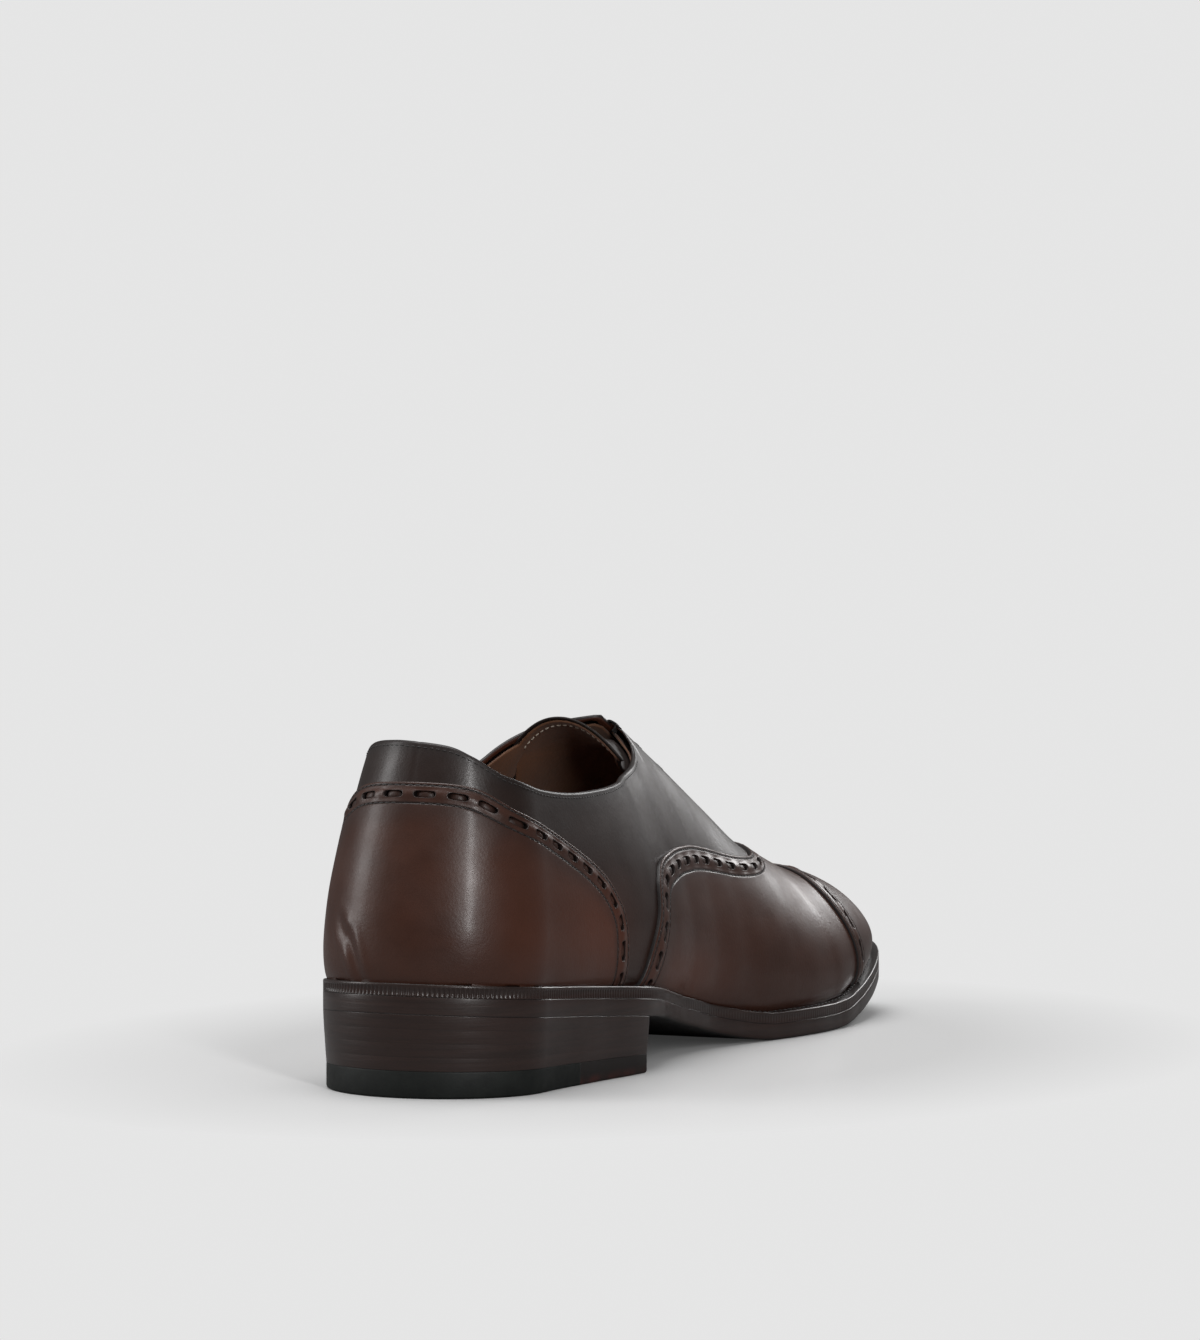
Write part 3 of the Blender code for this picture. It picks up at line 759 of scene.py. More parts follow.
def panel(name, seam, far_end, rows, pucker=None, plain=0.0, step=0.0):
    """A leather panel: rolled edge, stitched margins, window cells and the field up to far_end, with
    painted shade at the window rims, the window walls and the stitch grooves.
    """
    count = max(int(round(seam.length / WINDOW_PITCH)), 1)
    stretch = seam.length / (count * WINDOW_PITCH)
    rings, around_cell = window_cell()
    points, faces, shade = [], [], []

    def add(p, dark):
        first = sum(len(q) for q in points)
        points.append(p.reshape(-1, 3))
        shade.append((np.ones(p.shape[:-1]) * dark).reshape(-1))
        return first

    middle = (CELL_FROM + CELL_TO) / 2
    ring_share = RING_SHARES[:, None] * np.ones(around_cell)
    for k in range(count):
        centre = (k + 0.5) * WINDOW_PITCH
        whole = abs(centre * stretch - seam.length / 2) < plain
        cell = closed_cell(rings) if whole else rings
        u = (centre + cell[..., 0]) * stretch
        across = middle + cell[..., 1]
        lift = band_height(cell[..., 0], across, np.ones_like(ring_share) if whole else ring_share)
        # Painted shade: the leather darkens towards each open window's rim, as shade falling into the
        # opening.
        dark = 0.05 + 0.75 * (not whole) * np.exp(-((ring_share / 0.14) ** 2))
        first = add(seam.at(u, across, lift + step), dark)
        faces += net(len(rings), around_cell, first, wrap=True)
        if whole:
            faces.append(tuple(first + j for j in range(around_cell)))
            continue
        wall = np.array([0.75, 0.35])[:, None] * np.ones(around_cell)
        grown = np.array([rings[0], rings[0] * 1.02])
        low = seam.at((centre + grown[..., 0]) * stretch, middle + grown[..., 1], wall + step)
        # Painted shade: the window's inner wall gets the darkest colour, as the shade inside the opening.
        second = add(low, 1.0)
        faces += [
            (second + j, second + (j + 1) % around_cell, first + (j + 1) % around_cell, first + j)
            for j in range(around_cell)
        ]
        faces += [(b, a, d, c) for a, b, c, d in net(2, around_cell, second, wrap=True)]

    u = np.arange(count * CELL_STEPS + 1) * WINDOW_PITCH / CELL_STEPS * stretch
    top = GAP + OVERLAY
    rolled_edge = [(0.00, 0.05), (0.01, 0.70), (0.06, 1.00), (0.20, 1.16), (0.45, top), (0.80, top)]
    outer_groove = [(1.02, top - 0.05), (OUTER_STITCH, top - 0.34), (1.38, top - 0.05), (1.7, top + 0.05)]
    inner_groove = [(6.95, top + 0.05), (7.3, top - 0.04), (INNER_STITCH, top - 0.36), (7.7, top - 0.04)]
    margins = (
        [*rolled_edge, *outer_groove, (CELL_FROM, None)],
        [(CELL_TO, None), *inner_groove, (BAND, top)],
    )
    in_cell = u / stretch % WINDOW_PITCH - WINDOW_PITCH / 2
    for rows_here in margins:
        grid, dark = [], []
        for across, lift in rows_here:
            place_across = np.full(len(u), across)
            if lift is None:
                lift = band_height(in_cell, across, 1.0)
            lift = lift * np.ones(len(u)) + step * (across > 0)
            if pucker is not None and 0.1 < across < 3.0:
                lift = lift + pucker(u) * (-1.0) ** np.arange(len(u))
            grid.append(seam.at(u, place_across, lift))
            # Painted shade in the stitch grooves: the leather darkens towards each stitch line. The even
            # 0.22 over the margins is burnish, and the cut edge's wall is dark as a dyed edge.
            near = min(abs(across - OUTER_STITCH), abs(across - INNER_STITCH))
            seam_dark = 0.22 + 0.78 * math.exp(-((near / 0.32) ** 2)) + (across < 0.1)
            dark.append(np.full(len(u), seam_dark))
        first = add(np.array(grid), np.array(dark))
        faces += net(len(grid), len(u), first)
    a0, b0 = seam.chart_at(u, np.full(len(u), BAND))
    a1, b1 = far_end(a0, b0, u / seam.length)
    s = np.linspace(0, 1, rows + 1)[:, None]
    a = a0 * (1 - s) + a1 * s
    b = b0 * (1 - s) + b1 * s
    lift = top + step * (1 - np.clip(s / 0.7, 0, 1)) ** 2 * np.ones(a.shape)
    field_dark = 0.30 * np.exp(-((s * rows / 4) ** 2)) * np.ones(a.shape)
    first = add(laid(seam.chart, a, b, lift), field_dark)
    faces += net(rows + 1, len(u), first)
    points = np.vstack(points)
    shade = np.clip(np.concatenate(shade), 0, 1)
    return mesh_of(name, points, faces, shade=shade, warm=warmth(points))


def warmth(points):
    """How red the leather is: most low on the counter's front and low on the vamp."""
    y, z = points[:, 1], points[:, 2]
    counter = np.exp(-(((y - 22) / 26) ** 2) - (((z - 42) / 16) ** 2))
    vamp = 0.8 * np.exp(-(((y - 80) / 34) ** 2) - (((z - 22) / 12) ** 2))
    back = 0.35 * np.exp(-(((y + 20) / 18) ** 2) - (((z - 45) / 22) ** 2))
    return np.clip(counter + vamp + back, 0, 1)


def woven_strip(name, seam, plain=0.0, step=0.0):
    """The strip that shows in each window as a low hump, darker towards its ends with painted shade."""
    count = max(int(round(seam.length / WINDOW_PITCH)), 1)
    stretch = seam.length / (count * WINDOW_PITCH)
    middle = (CELL_FROM + CELL_TO) / 2
    grid_u, grid_b = np.meshgrid(np.linspace(-3.35, 3.35, 19), np.linspace(-1.45, 1.45, 9), indexing="ij")
    hump = 1.16 - 1.15 * np.abs(grid_u / 3.0) ** 2.6 - 0.30 * np.abs(grid_b / 1.2) ** 3
    points, faces = [], []
    for k in range(count):
        centre = (k + 0.5) * WINDOW_PITCH
        if abs(centre * stretch - seam.length / 2) < plain:
            continue
        faces += net(19, 9, len(points) * 19 * 9)
        lift = np.clip(hump, 0.06, None) + step
        points.append(seam.at((centre + grid_u) * stretch, middle + grid_b, lift).reshape(-1, 3))
    # Painted shade: the strip darkens where it dips down towards the window's ends, as shade under the
    # leather.
    shade = np.tile(np.clip(1.1 - hump, 0, 1).reshape(-1), len(points))
    points = np.vstack(points)
    return mesh_of(name, points, faces, shade=shade, warm=warmth(points) * 0.6)


def thread_copies(name, places, ways, outs, thread):
    """Stitches: one short thread modelled from a sphere, copied along a seam with each copy laid flat."""
    _, length, radius = thread
    deselect()
    bpy.ops.mesh.primitive_uv_sphere_add(segments=8, ring_count=5, radius=1.0)
    pattern = bpy.context.object
    shape = np.array([v.co for v in pattern.data.vertices])
    shape = shape[:, [2, 0, 1]]
    faces = [list(p.vertices) for p in pattern.data.polygons]
    bpy.data.objects.remove(pattern)
    long_axis = np.sign(shape[:, 0]) * np.abs(shape[:, 0]) ** 0.6
    ways = ways / np.linalg.norm(ways, axis=1)[:, None]
    outs = outs / np.linalg.norm(outs, axis=1)[:, None]
    across = np.cross(outs, ways)
    bow = -0.25 * radius * shape[:, 0] ** 2
    points = (
        places[:, None]
        + ways[:, None] * (long_axis * length / 2)[None, :, None]
        + across[:, None] * (shape[:, 1] * radius)[None, :, None]
        + outs[:, None] * (shape[:, 2] * radius + bow)[None, :, None]
    )
    all_faces = []
    for k in range(len(places)):
        for f in faces:
            all_faces.append([v + k * len(shape) for v in f])
    return mesh_of(name, points.reshape(-1, 3), all_faces, merge=0)


def stitch_row(seam_at, length, pitch=STITCH_PITCH, start=0.5):
    """Places, ways and outward directions of stitches along a line given as a function of distance."""
    u = np.arange(start, length - start, pitch)
    here, ahead = seam_at(u, 0.0), seam_at(np.minimum(u + 0.2, length), 0.0)
    outside = seam_at(u, 0.5)
    return here, ahead - here, outside - here


def seam_stitches(name, seam, rows, end=0.0):
    """Both rows of stitches beside a band. With an end, the inner row turns to meet the outer one."""
    parts = []
    radius = (INNER_STITCH - OUTER_STITCH) / 2
    for across, lift in rows:

        def along(u, more, across=across, lift=lift):
            return seam.at(u, np.full(len(u), across), np.full(len(u), lift + more))

        here, ahead, out = stitch_row(along, seam.length)
        u = np.arange(0.5, seam.length - 0.5, STITCH_PITCH)
        keep = (np.abs(u - seam.length / 2) > end + TURN_ROOM) | (across == OUTER_STITCH)
        parts.append((here[keep], ahead[keep], out[keep]))
    for side in (-1, 1) if end else ():

        def arc(run, more, side=side):
            turn = run / radius
            u = seam.length / 2 + side * (end + TURN_ROOM - radius * np.sin(turn))
            across = OUTER_STITCH + radius * (1 - np.cos(turn))
            return seam.at(u, across, np.full(len(u), rows[0][1] + more))

        parts.append(stitch_row(arc, math.pi * radius, TURN_THREAD[0], 0.4))
    places, ways, outs = (np.vstack(p) for p in zip(*parts))
    return thread_copies(name, places, ways, outs, BAND_THREAD)


def ring_solid(name, levels, count, hollow=False, marks=None, shade=()):
    """A part of the sole swept round its outline. Each level holds an inset and a height."""
    share, side = around(count)
    plan, _ = outline(share, side)
    run = np.concatenate([[0], np.cumsum(np.linalg.norm(np.diff(plan, axis=0), axis=1))])
    rings = []
    for k, (inset, height) in enumerate(levels):
        away = inset(share, side) if callable(inset) else inset
        if marks is not None:
            away = away + marks(run, k, place(share))
        line, _ = outline(share, side, away)
        z = height(line[:, 1]) if callable(height) else np.full(len(line), float(height))
        rings.append(np.column_stack([line, z]))
    ring = len(rings[0])
    faces = net(len(rings), ring, 0, wrap=True)
    last = (len(rings) - 1) * ring
    if hollow:
        faces += [(last + i, last + (i + 1) % ring, (i + 1) % ring, i) for i in range(ring)]
    else:
        for i in range(ring // 2):
            c, d = (ring - i - 1) % ring, (ring - i) % ring
            for first in (0, last):
                loop = [first + v for v in (i, i + 1, c, d)]
                faces.append([v for k, v in enumerate(loop) if v != loop[k - 1]])
    dark = np.repeat(shade, ring) if len(shade) else np.zeros(len(rings) * ring)
    return mesh_of(name, np.vstack(rings), faces, shade=dark)


def heel_outline(first, final, inset, count=160):
    """Plan of the heel between two places along it, closed straight across at each end."""
    share, side = around(1200)
    edge, _ = outline(share, side, inset)
    if first <= 0:
        k = np.linspace(0, 1, count + 1)
        y = (1 - np.cos(math.pi / 2 * k)) * (final - edge[0, 1]) + edge[0, 1]
    else:
        y = np.linspace(first, final, count + 1)
    inner = np.column_stack([np.interp(y, edge[:600, 1], edge[:600, 0]), y])
    back = np.vstack([edge[0], edge[:1800:-1]])
    outer = np.column_stack([np.interp(y, back[:, 1], back[:, 0]), y])
    return inner, outer


def heel_block(name, first, final, levels, shade=()):
    """A part of the heel through levels of (inset, height) from the floor up."""
    rings = []
    for inset, height in levels:
        inner, outer = heel_outline(first, final, inset)
        tail = outer[:0:-1] if first <= 0 else outer[::-1]
        line = np.vstack([inner, tail])
        z = height(line[:, 1]) if callable(height) else np.full(len(line), float(height))
        rings.append(np.column_stack([line, z]))
    count = len(rings[0])
    faces = net(len(rings), count, 0, wrap=True)
    top = (len(rings) - 1) * count
    for i in range(len(inner) - 1):
        c, d = (count - i - 1, (count - i) % count) if first <= 0 else (count - i - 2, count - i - 1)
        for base in (0, top):
            loop = [base + v for v in (i, i + 1, c, d)]
            faces.append([v for k, v in enumerate(loop) if v != loop[k - 1]])
    dark = np.repeat(shade, count) if len(shade) else np.zeros(len(rings) * count)
    return mesh_of(name, np.vstack(rings), faces, shade=dark)


def sheet_normals(grid):
    out = np.cross(np.gradient(grid, axis=0), np.gradient(grid, axis=1))
    out /= np.maximum(np.linalg.norm(out, axis=-1, keepdims=True), 1e-9)
    return out * (np.sign(out[len(out) // 2, out.shape[1] // 2, 2]) or 1)


def sheet_solid(name, grid, outside, inside):
    """A closed leather sheet from a grid of points, with a rounded edge all round."""
    out = sheet_normals(grid)
    rows, columns = grid.shape[:2]
    count = rows * columns
    points = [(grid + out * outside).reshape(-1, 3), (grid + out * inside).reshape(-1, 3)]
    faces = net(rows, columns) + [(b, a, d, c) for a, b, c, d in net(rows, columns, count)]
    rim = list(range(columns))
    rim += [i * columns + columns - 1 for i in range(1, rows)]
    rim += [(rows - 1) * columns + j for j in range(columns - 2, -1, -1)]
    rim += [i * columns for i in range(rows - 2, 0, -1)]
    flat = grid.reshape(-1, 3)
    ahead = flat[np.roll(rim, -1)] - flat[np.roll(rim, 1)]
    away = np.cross(ahead, out.reshape(-1, 3)[rim])
    away /= np.maximum(np.linalg.norm(away, axis=1, keepdims=True), 1e-9)
    centre = flat.mean(0)
    if ((flat[rim] - centre) * away).sum() < 0:
        away = -away
    half, middle = (outside - inside) / 2, (outside + inside) / 2
    previous = rim
    for turn in (45.0, 90.0, 135.0):
        lift = middle + half * math.cos(math.radians(turn))
        ring = flat[rim] + out.reshape(-1, 3)[rim] * lift + away * half * math.sin(math.radians(turn))
        first = sum(len(p) for p in points)
        points.append(ring)
        now = [first + k for k in range(len(rim))]
        faces += [(previous[k], previous[k - 1], now[k - 1], now[k]) for k in range(len(rim))]
        previous = now
    low = [count + v for v in rim]
    faces += [(previous[k], previous[k - 1], low[k - 1], low[k]) for k in range(len(rim))]
    return mesh_of(name, np.vstack(points), faces)


def ridge_sheet(tops, reach, far_reach, across):
    """A grid of points over the ridge, from one side's reach to the other's."""
    foot = np.interp(tops, [r[1] for r in COLUMN_TOPS], [r[0] for r in COLUMN_TOPS])
    turn = np.arccos(1 - 2 * foot) / math.pi
    lines = []
    for k in range(len(tops)):
        b = np.linspace(reach[k], 2 - far_reach[k], 2 * across + 1)
        lines.append(front_chart(np.full(len(b), turn[k]), b))
    return np.array(lines)


# Finishes


class Finish:
    """A material whose nodes are added one by one."""

    def __init__(self, name):
        self.material = bpy.data.materials.new(name)
        self.material.use_nodes = True
        self.nodes = self.material.node_tree.nodes
        self.links = self.material.node_tree.links
        self.shader = self.nodes["Principled BSDF"]
        self.place = self.nodes.new("ShaderNodeTexCoord").outputs["Object"]

    def stretched(self, scale):
        node = self.nodes.new("ShaderNodeMapping")
        node.inputs["Scale"].default_value = scale
        self.links.new(self.place, node.inputs["Vector"])
        return node.outputs["Vector"]

    def noise(self, scale, detail=4.0, roughness=0.55, vector=None):
        node = self.nodes.new("ShaderNodeTexNoise")
        node.inputs["Scale"].default_value = scale
        node.inputs["Detail"].default_value = detail
        node.inputs["Roughness"].default_value = roughness
        self.links.new(vector or self.place, node.inputs["Vector"])
        return node.outputs["Fac"]

    def cells(self, scale, vector=None, feature="F1"):
        node = self.nodes.new("ShaderNodeTexVoronoi")
        node.feature = feature
        node.inputs["Scale"].default_value = scale
        self.links.new(vector or self.place, node.inputs["Vector"])
        return node.outputs["Distance"]

    def ranged(self, value, low, high, out_low, out_high):
        node = self.nodes.new("ShaderNodeMapRange")
        self.links.new(value, node.inputs["Value"])
        node.inputs["From Min"].default_value = low
        node.inputs["From Max"].default_value = high
        node.inputs["To Min"].default_value = out_low
        node.inputs["To Max"].default_value = out_high
        return node.outputs["Result"]

    def maths(self, operation, first, second):
        node = self.nodes.new("ShaderNodeMath")
        node.operation = operation
        for socket, value in zip(node.inputs, (first, second)):
            if isinstance(value, (int, float)):
                socket.default_value = value
            else:
                self.links.new(value, socket)
        return node.outputs[0]

    def mixed(self, factor, first, second):
        node = self.nodes.new("ShaderNodeMix")
        node.data_type = "RGBA"
        self.links.new(factor, node.inputs["Factor"])
        for socket, value in ((node.inputs[6], first), (node.inputs[7], second)):
            if isinstance(value, (tuple, list)):
                socket.default_value = (*value[:3], 1.0)
            else:
                self.links.new(value, socket)
        return node.outputs[2]

    def layer(self, name):
        node = self.nodes.new("ShaderNodeAttribute")
        node.attribute_name = name
        return node.outputs["Fac"]

    def bump(self, height, distance, strength=1.0, below=None):
        node = self.nodes.new("ShaderNodeBump")
        node.inputs["Distance"].default_value = distance
        node.inputs["Strength"].default_value = strength
        self.links.new(height, node.inputs["Height"])
        if below is not None:
            self.links.new(below, node.inputs["Normal"])
        return node.outputs["Normal"]

    def set(self, key, value):
        socket = self.shader.inputs[key]
        if isinstance(value, (int, float)):
            socket.default_value = value
        elif isinstance(value, (tuple, list)):
            socket.default_value = (*value[:3], 1.0)
        else:
            self.links.new(value, socket)


def burnished_leather(name, colour, deep, red, rough=0.36, coat=0.18):
    """Calf polished by hand: cloudy, darker by the seams from burnish and from painted shade in the stitch
    grooves, windows and strips, redder where the dye is thin.
    """
    f = Finish(name)
    cloud = f.ranged(f.noise(28.0, 5.0), 0.35, 0.68, 0.0, 1.0)
    streak = f.ranged(f.noise(60.0, 3.0, 0.6, f.stretched((1.0, 0.35, 1.6))), 0.4, 0.65, 0.0, 0.6)
    base = f.mixed(cloud, colour, darker(colour, 0.72))
    base = f.mixed(streak, base, darker(colour, 1.18))
    warm = f.maths("MULTIPLY", f.layer("warm"), f.ranged(f.noise(22.0, 4.0), 0.3, 0.7, 0.55, 1.0))
    base = f.mixed(warm, base, red)
    # The shade attribute mixes in deep: real burnish and dark edges, and painted shade in the window rims
    # and walls, the stitch grooves, the strip ends and the eyelets.
    base = f.mixed(f.layer("shade"), base, deep)
    f.set("Base Color", base)
    pores = f.cells(1500.0)
    grain = f.noise(900.0, 3.0)
    low = f.bump(f.noise(55.0, 3.0), 0.0004, 0.35)
    fine = f.bump(f.maths("ADD", f.maths("MULTIPLY", pores, 0.5), grain), 0.00006, 0.5, low)
    f.set("Normal", fine)
    even = f.ranged(f.noise(90.0, 5.0), 0.3, 0.7, rough - 0.05, rough + 0.09)
    f.set("Roughness", f.maths("ADD", even, f.maths("MULTIPLY", f.layer("shade"), 0.22)))
    f.set("Coat Weight", coat)
    f.set("Coat Roughness", 0.18)
    f.set("Specular IOR Level", 0.42)
    return f.material


def plain_leather(name, colour, dark, rough=0.62):
    """Unpolished lining leather with a soft nap."""
    f = Finish(name)
    base = f.mixed(f.ranged(f.noise(45.0, 5.0), 0.3, 0.7, 0.0, 1.0), colour, dark)
    f.set("Base Color", base)
    f.set("Roughness", f.ranged(f.noise(200.0), 0.3, 0.7, rough - 0.06, rough + 0.08))
    f.set("Normal", f.bump(f.maths("ADD", f.noise(1100.0, 3.0), f.cells(800.0)), 0.00008, 0.5))
    f.set("Sheen Weight", 0.15)
    return f.material


def layered_leather(name, colour, dark, layer_height=0.0035, rough=0.38):
    """Waxed edge of sole leather: faint level layers and fine level scratches."""
    f = Finish(name)
    bands = f.noise(1.0, 4.0, 0.6, f.stretched((25.0, 25.0, 1.0 / layer_height * 2)))
    lines = f.noise(1.0, 2.0, 0.6, f.stretched((70.0, 70.0, 2600.0)))
    base = f.mixed(f.ranged(bands, 0.35, 0.65, 0.0, 1.0), colour, dark)
    f.set("Base Color", f.mixed(f.layer("shade"), base, darker(colour, 0.15)))
    f.set("Roughness", f.ranged(f.noise(70.0, 4.0), 0.3, 0.7, rough - 0.06, rough + 0.10))
    low = f.bump(bands, 0.00025, 0.4)
    f.set("Normal", f.bump(lines, 0.00005, 0.6, low))
    f.set("Coat Weight", 0.35)
    f.set("Coat Roughness", 0.20)
    return f.material


def dyed_low(name, colour, red):
    """Waxed leather whose lower edge is worn back to its red dye."""
    f = Finish(name)
    parts = f.nodes.new("ShaderNodeSeparateXYZ")
    f.links.new(f.place, parts.inputs["Vector"])
    low = f.ranged(parts.outputs["Z"], 0.0012, 0.0030, 1.0, 0.0)
    patchy = f.maths("MULTIPLY", low, f.ranged(f.noise(120.0, 4.0), 0.4, 0.6, 0.2, 1.0))
    f.set("Base Color", f.mixed(patchy, colour, red))
    f.set("Roughness", f.ranged(f.noise(90.0, 4.0), 0.3, 0.7, 0.42, 0.56))
    f.set("Normal", f.bump(f.noise(1.0, 2.0, 0.6, f.stretched((70.0, 70.0, 2600.0))), 0.00005, 0.6))
    return f.material


def moulded_rubber(name, colour, light):
    f = Finish(name)
    f.set("Base Color", f.mixed(f.ranged(f.noise(160.0, 4.0), 0.4, 0.7, 0.0, 1.0), colour, light))
    f.set("Roughness", f.ranged(f.noise(300.0), 0.3, 0.7, 0.5, 0.66))
    f.set("Normal", f.bump(f.noise(1300.0, 2.0), 0.00005, 0.5))
    return f.material


def thread_finish(name, colour, light):
    f = Finish(name)
    f.set("Base Color", f.mixed(f.ranged(f.noise(900.0), 0.35, 0.65, 0.0, 1.0), colour, light))
    f.set("Roughness", 0.6)
    f.set("Normal", f.bump(f.noise(1.0, 2.0, 0.5, f.stretched((2500.0, 2500.0, 2500.0))), 0.00005, 0.6))
    f.set("Sheen Weight", 0.2)
    return f.material


FINISHES = {}
HEEL_FRONT_WAX = (0.014, 0.010, 0.009)
RUBBER_BLACKS = ((0.006, 0.008, 0.007), (0.012, 0.015, 0.013))
DARK_THREADS = ((0.006, 0.004, 0.004), (0.018, 0.012, 0.010))
PALE_THREADS = ((0.60, 0.52, 0.42), (0.78, 0.70, 0.60))
LACE_BLACKS = ((0.008, 0.006, 0.005), (0.020, 0.015, 0.012))


def darker(colour, share):
    return tuple(share * c for c in colour)


def make_finishes(colours):
    leather = tuple(colours.leather)
    dark = tuple(colours.dark_leather)
    deep = tuple(colours.burnish_and_shade)
    red = tuple(colours.warm_leather)
    sole = tuple(colours.sole)
    tan = tuple(colours.lining)
    FINISHES["panel"] = burnished_leather("burnished calf", leather, deep, red)
    FINISHES["quarter"] = burnished_leather("dark burnished calf", dark, deep, red, 0.36)
    # The strip's colour is the panel leather at 0.6: partly a darker strip leather, partly painted shade
    # for the dark windows.
    FINISHES["strip"] = burnished_leather("strip leather", darker(leather, 0.6), deep, red, 0.42, 0.05)
    FINISHES["lining"] = plain_leather("lining leather", tan, darker(tan, 0.6))
    # Dark leather for the tongue and the eyelets, 0.55 of the quarters' colour: partly a dark finished
    # leather, partly painted shade on the tongue's shaded flank and round the eyelets' holes.
    FINISHES["edge"] = burnished_leather("dark leather with painted shade", darker(dark, 0.55), deep, deep, 0.62, 0.0)
    FINISHES["sole"] = layered_leather("waxed sole leather", sole, darker(sole, 0.6))
    FINISHES["stack"] = layered_leather("waxed heel leather", sole, darker(sole, 0.62), 0.0042)
    FINISHES["heel front"] = dyed_low("heel front leather", HEEL_FRONT_WAX, tuple(colours.heel_front))
    FINISHES["rubber"] = moulded_rubber("heel rubber", *RUBBER_BLACKS)
    FINISHES["thread"] = thread_finish("dark thread", *DARK_THREADS)
    FINISHES["pale thread"] = thread_finish("pale thread", *PALE_THREADS)
    FINISHES["cotton"] = thread_finish("waxed lace cotton", *LACE_BLACKS)


SEAMS = {}


def counter_band(points):
    return np.interp(points[:, 2], [20, 45, 70], [8.6, 7.6, 6.6])


def vamp_band(points):
    return np.interp(points[:, 1], [45, 80, 150, 175], [9.4, 9.0, 7.4, 6.4])


def cap_band(points):
    return np.full(len(points), 7.6)


def make_seams():
    """The three bands, with their widths in millimetres."""
    SEAMS["counter"] = Seam(heel_chart, *counter_line(), -1, counter_band)
    SEAMS["vamp"] = Seam(front_chart, *vamp_line(), -1, vamp_band)
    SEAMS["cap"] = Seam(front_chart, *cap_line(), -1, cap_band)


def build_quarters():
    """Both quarters with their folded edge, from the inner throat round the heel to the outer throat."""
    reach = 0.66
    a = reach * np.sin(np.linspace(-math.pi / 2, math.pi / 2, 561))
    side = np.where(a < 0, -1, 1)
    top = collar_level(np.abs(a), side)
    rows = 1 - (1 - np.linspace(0, 1, 91)) ** 1.25
    b = -0.04 + (top + 0.04)[None, :] * rows[:, None]
    a_grid = np.ones_like(b) * a
    back_seam = -0.10 * np.exp(-((a_grid / 0.004) ** 2))
    edge = laid(heel_chart, a_grid, b, back_seam)
    last = edge[-1]
    up = last - laid(heel_chart, a, b[-1] - 0.02, np.zeros(len(a)))
    up /= np.linalg.norm(up, axis=1, keepdims=True)
    along = np.gradient(last, axis=0)
    along /= np.linalg.norm(along, axis=1, keepdims=True)
    out = np.cross(along, up)
    out *= np.sign((out * (laid(heel_chart, a, b[-1], np.ones(len(a))) - last)).sum(1))[:, None]
    radius = WALL / 2
    rim = []
    for turn in np.radians([20, 45, 70, 90, 110, 135, 160, 180]):
        rim.append(last + out * radius * (math.cos(turn) - 1) + up * radius * 0.9 * math.sin(turn))
    for down in (0.5, 1.1):
        rim.append(last - out * WALL - up * down)
    points = np.vstack([edge.reshape(-1, 3), np.array(rim).reshape(-1, 3)])
    faces = net(len(rows) + len(rim), len(a))
    near_top = np.exp(-(((b[-1] - b) * 75 / 2.2) ** 2))
    rim_shade = np.array([0.8] * 5 + [0.25] * (len(rim) - 5))
    warm = warmth(points) * 0.5
    warm[-5 * len(a) :] = 0.7
    shade = np.vstack([0.10 + 0.5 * near_top, rim_shade[:, None] * np.ones(len(a))]).reshape(-1)
    return mesh_of("quarters", points, faces, merge=0.02, shade=np.clip(shade, 0, 1), warm=warm)


def build_lining():
    """The lining inside the whole upper, from the folded edge down to the insole and into the toe."""
    parts = []
    a = np.linspace(-1, 1, 301)
    side = np.where(a < 0, -1, 1)
    top = collar_level(np.abs(a), side, 0.8)
    top = np.where(np.abs(a) > 0.62, 1.0, top)
    rows = np.linspace(0, 1, 61)
    for lift in (-WALL - 0.1, -WALL - 0.7):
        b = top[None, :] * rows[:, None]
        grid = laid(heel_chart, np.ones_like(b) * a, b, np.full(b.shape, lift))
        parts.append(grid.reshape(-1, 3))
    count = len(a) * len(rows)
    faces = [face[::-1] for face in net(len(rows), len(a))]
    faces += net(len(rows), len(a), count)
    last = count - len(a)
    for i in range(len(a) - 1):
        faces.append((last + i, last + i + 1, count + last + i + 1, count + last + i))
        faces.append((i + 1, i, count + i, count + i + 1))
    return mesh_of("lining", np.vstack(parts), faces, merge=0.01)


def collar_stitches():
    """A row of stitches just under the collar's folded edge."""
    a = np.linspace(-0.46, 0.46, 500)
    side = np.where(a < 0, -1, 1)
    b = collar_level(np.abs(a), side)
    line_a, line_b, run = spaced(heel_chart, a, b - 0.7 / 75, 0.4)

    def at(u, lift):
        a_here = np.interp(u, run, line_a)
        b_here = np.interp(u, run, line_b)
        return laid(heel_chart, a_here, b_here, np.full(len(u), lift + 0.02))

    places, ways, outs = stitch_row(at, run[-1], COLLAR_THREAD[0])
    return thread_copies("collar stitches", places, ways, outs, COLLAR_THREAD)


